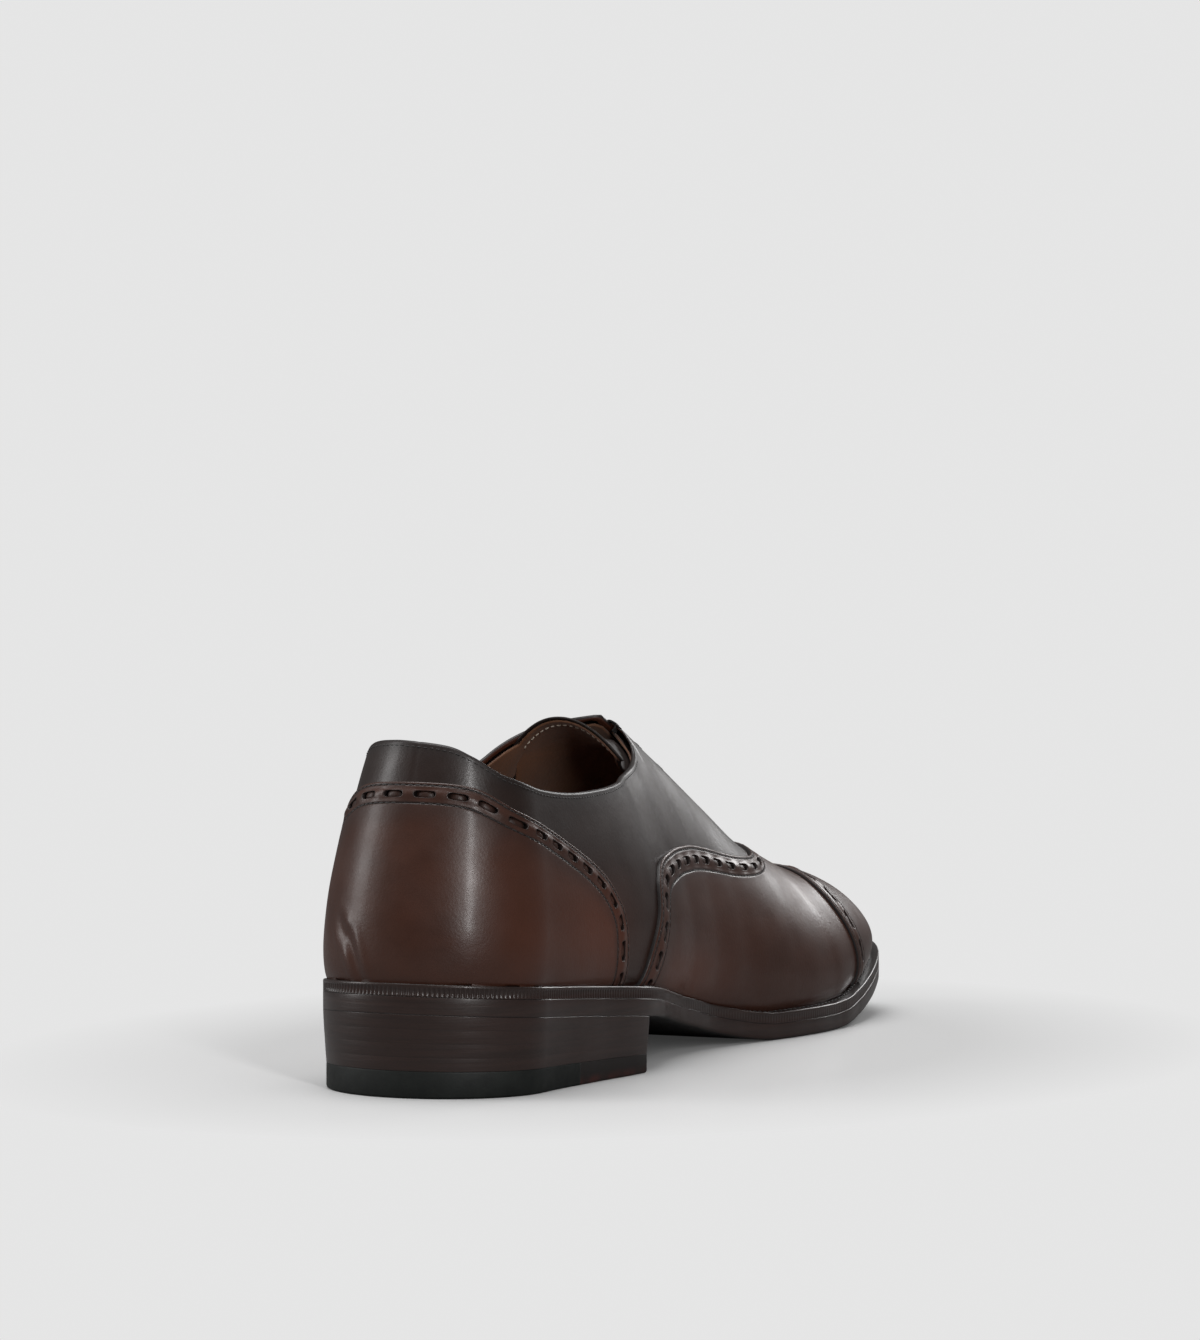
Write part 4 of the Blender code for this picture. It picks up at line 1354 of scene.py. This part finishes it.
def build_tongue(top_height):
    """The tongue's grid of points: an arch at its top that settles under the facings below."""
    tops = np.concatenate([np.linspace(TONGUE_TOP, 0.395, 14)[:-1], np.linspace(0.395, TONGUE_END, 40)])
    near = np.interp(tops, [TONGUE_TOP, 0.43, TONGUE_END], [0.64, 0.62, 0.72])
    far = np.interp(tops, [TONGUE_TOP, 0.43, TONGUE_END], [0.44, 0.46, 0.68])
    grid = ridge_sheet(tops, near, far, 24)
    for _ in range(90):
        grid[:, 1:-1] = 0.5 * grid[:, 1:-1] + 0.25 * (grid[:, :-2] + grid[:, 2:])
    y = place(tops)[:, None]
    across = np.linspace(1, -1, grid.shape[1])[None, :]
    under_facings = np.clip((y - 86 + 18 * across**2) / 14, 0, 1)
    under_facings = under_facings**2 * (3 - 2 * under_facings)
    free = np.clip((92 - y) / 26, 0, 1)
    apex = np.interp(y, [66, 78, 90, 100], [top_height, top_height - 4.0, 96.0, 92.0])
    x = TONGUE_HALF * across + TONGUE_MIDDLE + np.zeros_like(y)
    z = apex - (TONGUE_DROP * np.abs(across) ** 2.1)
    lean = free * (3.0 * across + 3.0 * across**2)
    arch = np.stack([x, y + lean, z], -1)
    return arch * (1 - under_facings[..., None]) + grid * under_facings[..., None]


def tongue_stitches(grid, lift):
    """A row of pale stitches round the tongue's top, just under the lining's face at that lift."""
    face = grid + sheet_normals(grid) * (lift - 0.05)
    path = softened_path(np.vstack([face[10:4:-1, 4], face[4, 4:-4], face[5:7, -5]]), 3)
    run = np.concatenate([[0], np.cumsum(np.linalg.norm(np.diff(path, axis=0), axis=1))])
    inward = path - path.mean(0) + np.array([0, 0, 12.0])
    inward /= np.linalg.norm(inward, axis=1, keepdims=True)

    def at(u, rise):
        return along_path(u, run, path) - rise * along_path(u, run, inward)

    places, ways, outs = stitch_row(at, run[-1], TONGUE_THREAD[0])
    return thread_copies("tongue stitches", places, ways, outs, TONGUE_THREAD)


def eyelet_places():
    """Places of the eyelets on each side: middle share, side and the level LACE_REACH from the ridge."""
    found = []
    for k in range(LACE_BARS):
        top = FACING_TOP + 0.022 + (THROAT - 0.048 - FACING_TOP - 0.022) * k / (LACE_BARS - 1)
        foot = np.interp(top, [r[1] for r in COLUMN_TOPS], [r[0] for r in COLUMN_TOPS])
        turn = float(np.arccos(1 - 2 * foot) / math.pi)
        for side in (1, -1):
            ridge = on_last(np.array([turn]), side, np.ones(1))

            def within(level, turn=turn, side=side, ridge=ridge):
                here = on_last(np.array([turn]), side, level)
                return np.linalg.norm(here - ridge, axis=-1) < LACE_REACH[side]

            level = half_way(within, np.array([0.2]), np.ones(1))
            found.append((turn, side, float(level[0])))
    return found


def eyelet_rings():
    """Punched eyelets: one leather lip from a torus, copied to each place."""
    deselect()
    bpy.ops.mesh.primitive_torus_add(
        major_segments=28, minor_segments=10, major_radius=EYELET_RADIUS, minor_radius=EYELET_LIP
    )
    pattern = bpy.context.object
    shape = np.array([v.co for v in pattern.data.vertices])
    ring_faces = [tuple(p.vertices) for p in pattern.data.polygons]
    bpy.data.objects.remove(pattern)
    points, faces = [], []
    for turn, side, level in eyelet_places():
        q = np.array([level if side > 0 else 2 - level])
        t = np.array([turn])
        centre = laid(front_chart, t, q, np.array([EYELET_LIFT]))[0]
        along, up = (s[0] for s in slopes(front_chart, t, q))
        along /= np.linalg.norm(along)
        out = np.cross(along, up)
        out /= np.linalg.norm(out)
        across = np.cross(out, along)
        first = len(points) * len(shape)
        points.append(centre + shape[:, :1] * along + shape[:, 1:2] * across + shape[:, 2:3] * out)
        faces += [tuple(v + first for v in f) for f in ring_faces]
    points = np.vstack(points)
    # Painted shade: the eyelets' lips are darkened towards deep, standing in for the shade in the punched
    # holes.
    shade = np.full(len(points), 0.6)
    return mesh_of("eyelets", points, faces, shade=shade, warm=np.zeros(len(points)))


def bar_tack():
    """Close stitches across the foot of the slit."""
    foot = np.interp(THROAT, [r[1] for r in COLUMN_TOPS], [r[0] for r in COLUMN_TOPS])
    turn = np.full(TACK_STITCHES, float(np.arccos(1 - 2 * foot) / math.pi))
    turn = turn - np.arange(TACK_STITCHES) * 0.0014
    ridge = np.ones(TACK_STITCHES)
    here = laid(front_chart, turn, ridge, ridge * 0.25)
    ways = laid(front_chart, turn, ridge + 0.02, ridge * 0.25) - here
    outs = laid(front_chart, turn, ridge, ridge) - here
    return thread_copies("bar tack", here, ways, outs, TACK_THREAD)


def lace_bar(k, half_width, half_thickness):
    """One straight bar: a flat waxed lace that rises out of an eyelet, crosses and goes down again."""
    turn, _, level = eyelet_places()[2 * k]
    _, _, far = eyelet_places()[2 * k + 1]
    b = np.concatenate([[level] * 3, np.linspace(level, 2 - far, 25)[1:-1], [2 - far] * 3])
    rise = [-LACE_DOWN, -1.0, 0.1]
    lift = np.concatenate([rise, np.full(23, half_thickness - LACE_SUNK), rise[::-1]])
    line = laid(front_chart, np.full(len(b), turn), b, lift)
    line = softened_path(line, 2)
    tangent = np.gradient(line, axis=0)
    tangent /= np.linalg.norm(tangent, axis=1, keepdims=True)
    along = slopes(front_chart, np.array([turn]), np.array([0.97]))[0][0]
    along /= np.linalg.norm(along)
    points = []
    for p, way in zip(line, tangent):
        side = along - way * (along @ way)
        side /= np.linalg.norm(side)
        up = np.cross(way, side)
        ring = np.radians(np.arange(16) * 22.5)
        flat = np.outer(np.cos(ring) * half_width, side)
        points.append(p + flat + np.outer(np.sin(ring) * half_thickness, up))
    points = np.array(points)
    count = len(points)
    faces = net(count, 16, 0, wrap=True)
    faces += [tuple(range(16)), tuple((count - 1) * 16 + v for v in range(15, -1, -1))]
    return mesh_of(f"lace bar {k + 1}", points.reshape(-1, 3), faces)


def wheel_marks(run, level, y):
    """Fine upright marks pressed round the rand by a hot wheel, on its three upright levels."""
    depth = chosen("wheel_depth") * (level in (3, 4, 5))
    return depth * (1 + np.cos(run * 2 * math.pi / WHEEL_PITCH)) * np.interp(y, [45, 75], [1.0, 0.4])


def raised(base, rise):
    """The height of a level that stands a set amount over another height."""

    def height(y):
        return base(y) + rise

    return height


def welt_floor(y):
    return underside(y) + OUTSOLE + 0.04


def welt_inside(share, side):
    return by_side(STEP_IN, share, side) + WELT_UNDER_UPPER


def build_welt():
    """The welt and heel rand: one ring with a bead above and a wheeled face."""
    levels = [(welt_inside, welt_floor), (0.05, welt_floor), (0.0, raised(welt_floor, 0.12))]
    for rise, inset in ((0.35, 0.02), (1.3, 0.02), (2.35, 0.02), (2.6, 0.0), (3.0, 0.0), (3.3, 0.10)):
        levels.append((inset, raised(welt_floor, rise)))
    for inset in (0.35, welt_inside):
        levels.append((inset, raised(welt_floor, WELT + 0.26)))
    dark = [0.5, 0.3] + [0.0] * (len(levels) - 5) + [0.2, 0.8, 0.95]
    return ring_solid("welt", levels, 1400, hollow=True, marks=wheel_marks, shade=dark)


def welt_stitches():
    """Stitches on the top of the welt, inside its edge, in front of the heel."""
    share, side = around(1600)
    line, _ = outline(share, side, by_side(STEP_IN, share, side) * 0.5)
    keep = share > 0.30
    inner, outer = keep & (side > 0), keep & (side < 0)
    path = np.vstack([line[inner], line[outer]])
    z = underside(path[:, 1]) + OUTSOLE + GAP + WELT + 0.05
    path = np.column_stack([path, z])
    run = np.concatenate([[0], np.cumsum(np.linalg.norm(np.diff(path, axis=0), axis=1))])

    def at(u, lift):
        return along_path(u, run, path) + np.array([0, 0, lift])

    places, ways, outs = stitch_row(at, run[-1], WELT_THREAD[0])
    return thread_copies("welt stitches", places, ways, outs, WELT_THREAD)


def edge_round(part):
    """A part of the rounding of the outsole's lower edge, which is sharp over the heel."""

    def inset(share, side):
        return part * np.interp(share, [0.27, 0.34], [0.05, 1.5])

    return inset


def build_outsole():
    levels = [
        (edge_round(1.0), underside),
        (edge_round(0.45), raised(underside, 0.12)),
        (edge_round(0.12), raised(underside, 0.5)),
        (0.0, raised(underside, 1.2)),
        (0.0, raised(underside, 2.6)),
        (0.0, raised(underside, OUTSOLE - 0.2)),
        (0.05, raised(underside, OUTSOLE)),
    ]
    dark = [0.9, 0.5] + [0.0] * 4 + [0.8]
    return ring_solid("outsole", levels, 700, shade=dark)


def top_piece_height(y):
    return TOP_PIECE_BACK + (TOP_PIECE_FRONT - TOP_PIECE_BACK) * share_of(y) * SOLE_LENGTH / HEEL_LENGTH


def build_heel_pieces():
    """The lifts, and the rubber and leather halves of the top piece."""
    breast = float(place(HEEL_LENGTH / SOLE_LENGTH))
    joint = TOP_PIECE_JOINT - HEEL_CENTRE
    ground = [
        (HEEL_TAPER + 0.6, 0.0),
        (HEEL_TAPER + 0.2, 0.25),
        (HEEL_TAPER, 0.7),
        (HEEL_TAPER, raised(top_piece_height, -0.4)),
        (HEEL_TAPER + 0.03, raised(top_piece_height, -0.1)),
        (HEEL_TAPER + 0.08, top_piece_height),
    ]
    rubber = heel_block("top piece rubber", 0, joint - GAP / 2, ground)
    front = heel_block("top piece leather", joint + GAP / 2, breast, ground)
    lifts = 4
    levels = []
    for k in range(lifts):
        for share, inset in ((0.0, 0.012), (0.03, 0.0), (0.97, 0.0), (1.0, 0.012)):
            s = (k + share) / lifts

            def height(y, s=s):
                low = top_piece_height(y) + 0.04
                high = underside(y) - 0.03
                return low + (high - low) * s

            levels.append((HEEL_TAPER * (1 - s) ** 1.2 + inset, height))
    dark = ([0.7, 0.0, 0.0, 0.45] * lifts)[:-1] + [0.9]
    stack = heel_block("heel stack", 0, breast, levels, dark)
    return stack, rubber, front


# Stage

BACKDROP = (0.787, 0.787, 0.787, 1.0)
FLOOR_PALE = (0.74, 0.74, 0.74)
FLOOR_SHADE = (0.735, 0.735, 0.735)
FLOOR_BOUNCE = (0.22, 0.22, 0.22, 1.0)
FLOOR_GLOW = 0.04
FLOOR_FADE = (0.10, 0.18)
ROOM_LIGHT = 0.13
# Softboxes: name, place, aim, size and watts
SOFTBOXES = (
    ("streak softbox", (1.15, -1.15, 0.75), (0.0, 0.0, 0.07), (0.15, 0.9), 11.0),
    ("top softbox", (-0.2, 0.1, 1.7), (0.0, 0.05, 0.05), (1.2, 1.2), 23.0),
    ("left softbox", (-1.3, -0.5, 0.6), (0.0, 0.0, 0.06), (0.4, 1.0), 6.0),
    ("toe softbox", (0.3, 1.8, 0.78), (0.0, 0.12, 0.05), (0.5, 0.5), 7.0),
)
CAMERA_PLACE = (0.59213, -1.21263, 0.15415)
CAMERA_AZIMUTH = 24.3457
CAMERA_DROP = 1.5924
CAMERA_LENS = 128.499
CAMERA_SENSOR = 36.0


def area_light(name, place_at, aim, size, watts):
    lamp = bpy.data.lights.new(name, "AREA")
    lamp.shape = "RECTANGLE"
    lamp.size, lamp.size_y = size
    lamp.energy = watts
    obj = bpy.data.objects.new(name, lamp)
    bpy.context.scene.collection.objects.link(obj)
    obj.location = place_at
    obj.rotation_euler = (Vector(aim) - Vector(place_at)).to_track_quat("-Z", "Y").to_euler()
    return obj


def build_floor():
    """A plain floor: lit near the shoe, and fading to the backdrop's even tone away from it."""
    deselect()
    bpy.ops.mesh.primitive_plane_add(size=24.0, location=(0.0, 0.0, 0.0))
    floor = bpy.context.object
    bpy.ops.object.mode_set(mode="EDIT")
    bpy.ops.mesh.subdivide(number_cuts=8)
    bpy.ops.object.mode_set(mode="OBJECT")
    floor.name = "studio_floor"
    f = Finish("pale studio floor")
    nodes, links = f.nodes, f.links
    f.set("Base Color", f.mixed(f.noise(3.0), FLOOR_PALE, FLOOR_SHADE))
    f.set("Roughness", 0.35)
    f.set("Specular IOR Level", 0.12)
    glow = nodes.new("ShaderNodeEmission")
    glow.inputs["Color"].default_value = BACKDROP
    from_shoe = nodes.new("ShaderNodeMapping")
    from_shoe.inputs["Location"].default_value = (0.0, -0.08, 0.0)
    from_shoe.inputs["Scale"].default_value = (1.0, 0.75, 1.0)
    links.new(f.place, from_shoe.inputs["Vector"])
    distance = nodes.new("ShaderNodeVectorMath")
    distance.operation = "LENGTH"
    links.new(from_shoe.outputs["Vector"], distance.inputs[0])
    seen = nodes.new("ShaderNodeMixShader")
    fade = f.ranged(distance.outputs["Value"], *FLOOR_FADE, FLOOR_GLOW, 1.0)
    links.new(fade, seen.inputs["Fac"])
    links.new(f.shader.outputs[0], seen.inputs[1])
    links.new(glow.outputs[0], seen.inputs[2])
    dull = nodes.new("ShaderNodeBsdfDiffuse")
    dull.inputs["Color"].default_value = FLOOR_BOUNCE
    rays = nodes.new("ShaderNodeLightPath")
    mix = nodes.new("ShaderNodeMixShader")
    links.new(rays.outputs["Is Camera Ray"], mix.inputs["Fac"])
    links.new(dull.outputs[0], mix.inputs[1])
    links.new(seen.outputs[0], mix.inputs[2])
    links.new(mix.outputs[0], nodes["Material Output"].inputs["Surface"])
    floor.data.materials.append(f.material)
    bpy.context.scene.view_settings.view_transform = "Standard"


def build_world():
    """Even room light, with the backdrop's tone where the camera sees it."""
    world = bpy.data.worlds.new("studio")
    world.use_nodes = True
    bpy.context.scene.world = world
    nodes, links = world.node_tree.nodes, world.node_tree.links
    lighting = nodes["Background"]
    lighting.inputs["Color"].default_value = (1.0, 1.0, 1.0, 1.0)
    lighting.inputs["Strength"].default_value = ROOM_LIGHT
    seen = nodes.new("ShaderNodeBackground")
    seen.inputs["Color"].default_value = BACKDROP
    rays = nodes.new("ShaderNodeLightPath")
    mix = nodes.new("ShaderNodeMixShader")
    links.new(rays.outputs["Is Camera Ray"], mix.inputs["Fac"])
    links.new(lighting.outputs[0], mix.inputs[1])
    links.new(seen.outputs[0], mix.inputs[2])
    links.new(mix.outputs[0], nodes["World Output"].inputs["Surface"])


def build_camera():
    """The camera at the photograph's place and angle."""
    camera = bpy.data.cameras.new("camera")
    camera.sensor_width = CAMERA_SENSOR
    camera.lens = CAMERA_LENS
    obj = bpy.data.objects.new("camera", camera)
    bpy.context.scene.collection.objects.link(obj)
    obj.location = CAMERA_PLACE
    obj.rotation_euler = (math.radians(90 - CAMERA_DROP), 0.0, math.radians(CAMERA_AZIMUTH))
    bpy.context.scene.camera = obj


# Settings, operators and panel


class BrogueColours(bpy.types.PropertyGroup):
    """Colours that a user would change."""

    leather: bpy.props.FloatVectorProperty(
        name="Leather",
        description="Calf of the counter, vamp and toe cap",
        subtype="COLOR",
        default=(0.062, 0.023, 0.014),
        min=0.0,
        max=1.0,
    )
    dark_leather: bpy.props.FloatVectorProperty(
        name="Dark leather",
        description="Calf of the quarters",
        subtype="COLOR",
        default=(0.026, 0.014, 0.011),
        min=0.0,
        max=1.0,
    )
    # Also the colour of the painted shade in the window rims and walls, the stitch grooves, the strips'
    # ends and the eyelets.
    burnish_and_shade: bpy.props.FloatVectorProperty(
        name="Burnish",
        description="Darkest wax by the seams",
        subtype="COLOR",
        default=(0.009, 0.005, 0.0045),
        min=0.0,
        max=1.0,
    )
    warm_leather: bpy.props.FloatVectorProperty(
        name="Warm leather",
        description="Redder leather where the dye is thin",
        subtype="COLOR",
        default=(0.150, 0.040, 0.017),
        min=0.0,
        max=1.0,
    )
    sole: bpy.props.FloatVectorProperty(
        name="Sole edge",
        description="Waxed edge of sole, welt and heel",
        subtype="COLOR",
        default=(0.036, 0.016, 0.012),
        min=0.0,
        max=1.0,
    )
    heel_front: bpy.props.FloatVectorProperty(
        name="Heel front",
        description="Leather in front of the heel rubber",
        subtype="COLOR",
        default=(0.075, 0.020, 0.016),
        min=0.0,
        max=1.0,
    )
    lining: bpy.props.FloatVectorProperty(
        name="Lining",
        description="Lining leather",
        subtype="COLOR",
        default=(0.20, 0.085, 0.040),
        min=0.0,
        max=1.0,
    )


class BrogueSizes(bpy.types.PropertyGroup):
    """Sizes that a user would change."""

    pucker: bpy.props.FloatProperty(
        name="Pucker height",
        description="Height of the puckers along the vamp's corner",
        unit="LENGTH",
        precision=5,
        default=0.00012,
        min=0.0,
        max=0.0005,
    )
    cap_stand: bpy.props.FloatProperty(
        name="Toe cap stand",
        description="How far the toe cap's band stands over the vamp",
        unit="LENGTH",
        precision=5,
        default=0.0010,
        min=0.0006,
        max=0.0015,
    )
    tongue_height: bpy.props.FloatProperty(
        name="Tongue height",
        description="Height of the tongue's arch over the floor",
        unit="LENGTH",
        precision=5,
        default=0.1041,
        min=0.098,
        max=0.108,
    )
    lace_width: bpy.props.FloatProperty(
        name="Lace width",
        description="Width of the flat lace",
        unit="LENGTH",
        precision=5,
        default=0.0022,
        min=0.0015,
        max=0.0030,
    )
    lace_thickness: bpy.props.FloatProperty(
        name="Lace thickness",
        description="Thickness of the flat lace",
        unit="LENGTH",
        precision=5,
        default=0.0006,
        min=0.0004,
        max=0.0012,
    )
    wheel_depth: bpy.props.FloatProperty(
        name="Wheel mark depth",
        description="Depth of the marks that a hot wheel leaves round the heel rand",
        unit="LENGTH",
        precision=5,
        default=0.00013,
        min=0.0,
        max=0.0003,
    )


class BROGUE_OT_stage(bpy.types.Operator):
    """Makes the floor, the lights, the camera and the finishes"""

    bl_idname = "brogue.stage"
    bl_label = "Stage"

    def execute(self, context):
        build_camera()
        build_world()
        build_floor()
        for name, place_at, aim, size, watts in SOFTBOXES:
            area_light(name, place_at, aim, size, watts)
        make_finishes(context.scene.brogue_colours)
        make_seams()
        return {"FINISHED"}


class BROGUE_OT_quarters(bpy.types.Operator):
    """Makes the quarters, the lining and the collar's stitches"""

    bl_idname = "brogue.quarters"
    bl_label = "Quarters"

    def execute(self, context):
        finished(build_quarters(), "quarters_leather", FINISHES["quarter"], ["upper"])
        finished(build_lining(), "lining", FINISHES["lining"])
        finished(collar_stitches(), "collar_stitches", FINISHES["thread"])
        return {"FINISHED"}


class BROGUE_OT_counter(bpy.types.Operator):
    """Makes the heel counter with its brogue band"""

    bl_idname = "brogue.counter"
    bl_label = "Heel counter"

    def execute(self, context):
        seam = SEAMS["counter"]
        feet, _ = seam.chart_at(np.array([0.0, seam.length]), np.full(2, BAND))

        def far_end(a, b, share):
            return feet[0] + (feet[1] - feet[0]) * share, np.full(len(a), -0.04)

        piece = panel("counter panel", seam, far_end, 60)
        finished(piece, "counter_panel", FINISHES["panel"], ["heel_counter"])
        return {"FINISHED"}


class BROGUE_OT_vamp(bpy.types.Operator):
    """Makes the vamp with its brogue band"""

    bl_idname = "brogue.vamp"
    bl_label = "Vamp"

    def execute(self, context):
        seam = SEAMS["vamp"]
        under_cap = SEAMS["cap"].lines[3]
        order = np.argsort(under_cap[1])
        height = context.scene.brogue_sizes.pucker / MM

        def far_end(a, b, share):
            return np.interp(b, under_cap[1][order], under_cap[0][order]), b

        def pucker(u):
            spot = np.exp(-(((u - 48) / 16) ** 2)) + np.exp(-(((seam.length - u - 48) / 16) ** 2))
            return height * (0.25 + spot)

        piece = panel("vamp panel", seam, far_end, 90, pucker, THROAT_PLAIN)
        finished(piece, "vamp_panel", FINISHES["panel"], ["vamp"])
        return {"FINISHED"}


class BROGUE_OT_cap(bpy.types.Operator):
    """Makes the toe cap with its brogue band"""

    bl_idname = "brogue.cap"
    bl_label = "Toe cap"

    def execute(self, context):
        def far_end(a, b, share):
            return np.ones(len(a)), b

        piece = panel("toe cap panel", SEAMS["cap"], far_end, 80, step=chosen("cap_stand"))
        finished(piece, "toe_cap_panel", FINISHES["panel"], ["toe_cap"])
        return {"FINISHED"}


class BROGUE_OT_strips(bpy.types.Operator):
    """Makes the strips woven through the bands' windows"""

    bl_idname = "brogue.strips"
    bl_label = "Woven strips"

    def execute(self, context):
        for name, seam in SEAMS.items():
            plain = THROAT_PLAIN * (name == "vamp")
            step = chosen("cap_stand") * (name == "cap")
            finished(woven_strip(name + " strip", seam, plain, step), name + "_strip", FINISHES["strip"])
        return {"FINISHED"}


class BROGUE_OT_stitches(bpy.types.Operator):
    """Makes the stitches beside the bands"""

    bl_idname = "brogue.stitches"
    bl_label = "Stitches"

    def execute(self, context):
        for name, seam in SEAMS.items():
            lift = GAP + OVERLAY - THREAD_SUNK + chosen("cap_stand") * (name == "cap")
            rows = ((OUTER_STITCH, lift), (INNER_STITCH, lift))
            stitches = seam_stitches(name + " stitches", seam, rows, THROAT_END * (name == "vamp"))
            finished(stitches, name + "_stitches", FINISHES["thread"])
        return {"FINISHED"}


class BROGUE_OT_tongue(bpy.types.Operator):
    """Makes the tongue, its lining and the stitches round its top"""

    bl_idname = "brogue.tongue"
    bl_label = "Tongue"

    def execute(self, context):
        grid = build_tongue(chosen("tongue_height"))
        top = -(WALL + TONGUE_UNDER)
        between = top - TONGUE_LEATHER
        leather = sheet_solid("tongue", grid, top, between)
        # The tongue's outer leather is the dark leather, partly painted shade on its shaded flank.
        finished(leather, "tongue_leather", FINISHES["edge"], ["tongue"])
        inner = sheet_solid("tongue lining", grid[1:, 1:-1], between, between - TONGUE_LINING)
        finished(inner, "tongue_lining", FINISHES["lining"])
        stitches = tongue_stitches(grid, between - TONGUE_LINING)
        finished(stitches, "tongue_stitches", FINISHES["pale thread"])
        return {"FINISHED"}


class BROGUE_OT_laces(bpy.types.Operator):
    """Makes the eyelets, the bar tack and the lace's bars"""

    bl_idname = "brogue.laces"
    bl_label = "Laces"

    def execute(self, context):
        half_width = chosen("lace_width") / 2
        half_thickness = chosen("lace_thickness") / 2
        finished(eyelet_rings(), "eyelets", FINISHES["edge"])
        finished(bar_tack(), "bar_tack", FINISHES["thread"])
        for k in range(LACE_BARS):
            bar = lace_bar(k, half_width, half_thickness)
            finished(bar, f"lace_over_{k + 1}", FINISHES["cotton"], [f"lace_bar_{k + 1}"])
        return {"FINISHED"}


class BROGUE_OT_welt(bpy.types.Operator):
    """Makes the welt, its wheel marks and its stitches"""

    bl_idname = "brogue.welt"
    bl_label = "Welt"

    def execute(self, context):
        finished(build_welt(), "welt_ring", FINISHES["sole"], ["welt"])
        finished(welt_stitches(), "welt_stitches", FINISHES["thread"])
        return {"FINISHED"}


class BROGUE_OT_outsole(bpy.types.Operator):
    """Makes the outsole"""

    bl_idname = "brogue.outsole"
    bl_label = "Outsole"

    def execute(self, context):
        finished(build_outsole(), "outsole_leather", FINISHES["sole"], ["outsole"])
        return {"FINISHED"}


class BROGUE_OT_heel(bpy.types.Operator):
    """Makes the heel's lifts and top piece"""

    bl_idname = "brogue.heel"
    bl_label = "Heel"

    def execute(self, context):
        lifts, rubber, front = build_heel_pieces()
        finished(lifts, "heel_lifts", FINISHES["stack"], ["heel_stack"])
        finished(rubber, "top_piece_rubber", FINISHES["rubber"], ["top_piece"])
        finished(front, "top_piece_leather", FINISHES["heel front"], ["top_piece_front"])
        return {"FINISHED"}


class BROGUE_OT_insole(bpy.types.Operator):
    """Gives the insole its finish"""

    bl_idname = "brogue.insole"
    bl_label = "Insole"

    def execute(self, context):
        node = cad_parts["insole"]
        node.data.materials.clear()
        node.data.materials.append(FINISHES["lining"])
        return {"FINISHED"}


OPERATORS = (
    BROGUE_OT_stage,
    BROGUE_OT_quarters,
    BROGUE_OT_counter,
    BROGUE_OT_vamp,
    BROGUE_OT_cap,
    BROGUE_OT_strips,
    BROGUE_OT_stitches,
    BROGUE_OT_tongue,
    BROGUE_OT_laces,
    BROGUE_OT_welt,
    BROGUE_OT_outsole,
    BROGUE_OT_heel,
    BROGUE_OT_insole,
)


class BROGUE_PT_panel(bpy.types.Panel):
    """Lists the settings and the operators"""

    bl_idname = "BROGUE_PT_panel"
    bl_label = "Brogue"
    bl_space_type = "VIEW_3D"
    bl_region_type = "UI"
    bl_category = "Brogue"

    def draw(self, context):
        for group in (context.scene.brogue_colours, context.scene.brogue_sizes):
            for key in group.__annotations__:
                self.layout.prop(group, key)
        for kind in OPERATORS:
            self.layout.operator(kind.bl_idname)


CLASSES = (BrogueColours, BrogueSizes, *OPERATORS, BROGUE_PT_panel)


def register():
    for kind in CLASSES:
        bpy.utils.register_class(kind)
    bpy.types.Scene.brogue_colours = bpy.props.PointerProperty(type=BrogueColours)
    bpy.types.Scene.brogue_sizes = bpy.props.PointerProperty(type=BrogueSizes)


def unregister():
    del bpy.types.Scene.brogue_sizes
    del bpy.types.Scene.brogue_colours
    for kind in reversed(CLASSES):
        bpy.utils.unregister_class(kind)


def main():
    register()
    bpy.ops.brogue.stage()
    bpy.ops.brogue.quarters()
    bpy.ops.brogue.counter()
    bpy.ops.brogue.vamp()
    bpy.ops.brogue.cap()
    bpy.ops.brogue.strips()
    bpy.ops.brogue.stitches()
    bpy.ops.brogue.tongue()
    bpy.ops.brogue.laces()
    bpy.ops.brogue.welt()
    bpy.ops.brogue.outsole()
    bpy.ops.brogue.heel()
    bpy.ops.brogue.insole()


if __name__ == "__main__":
    main()
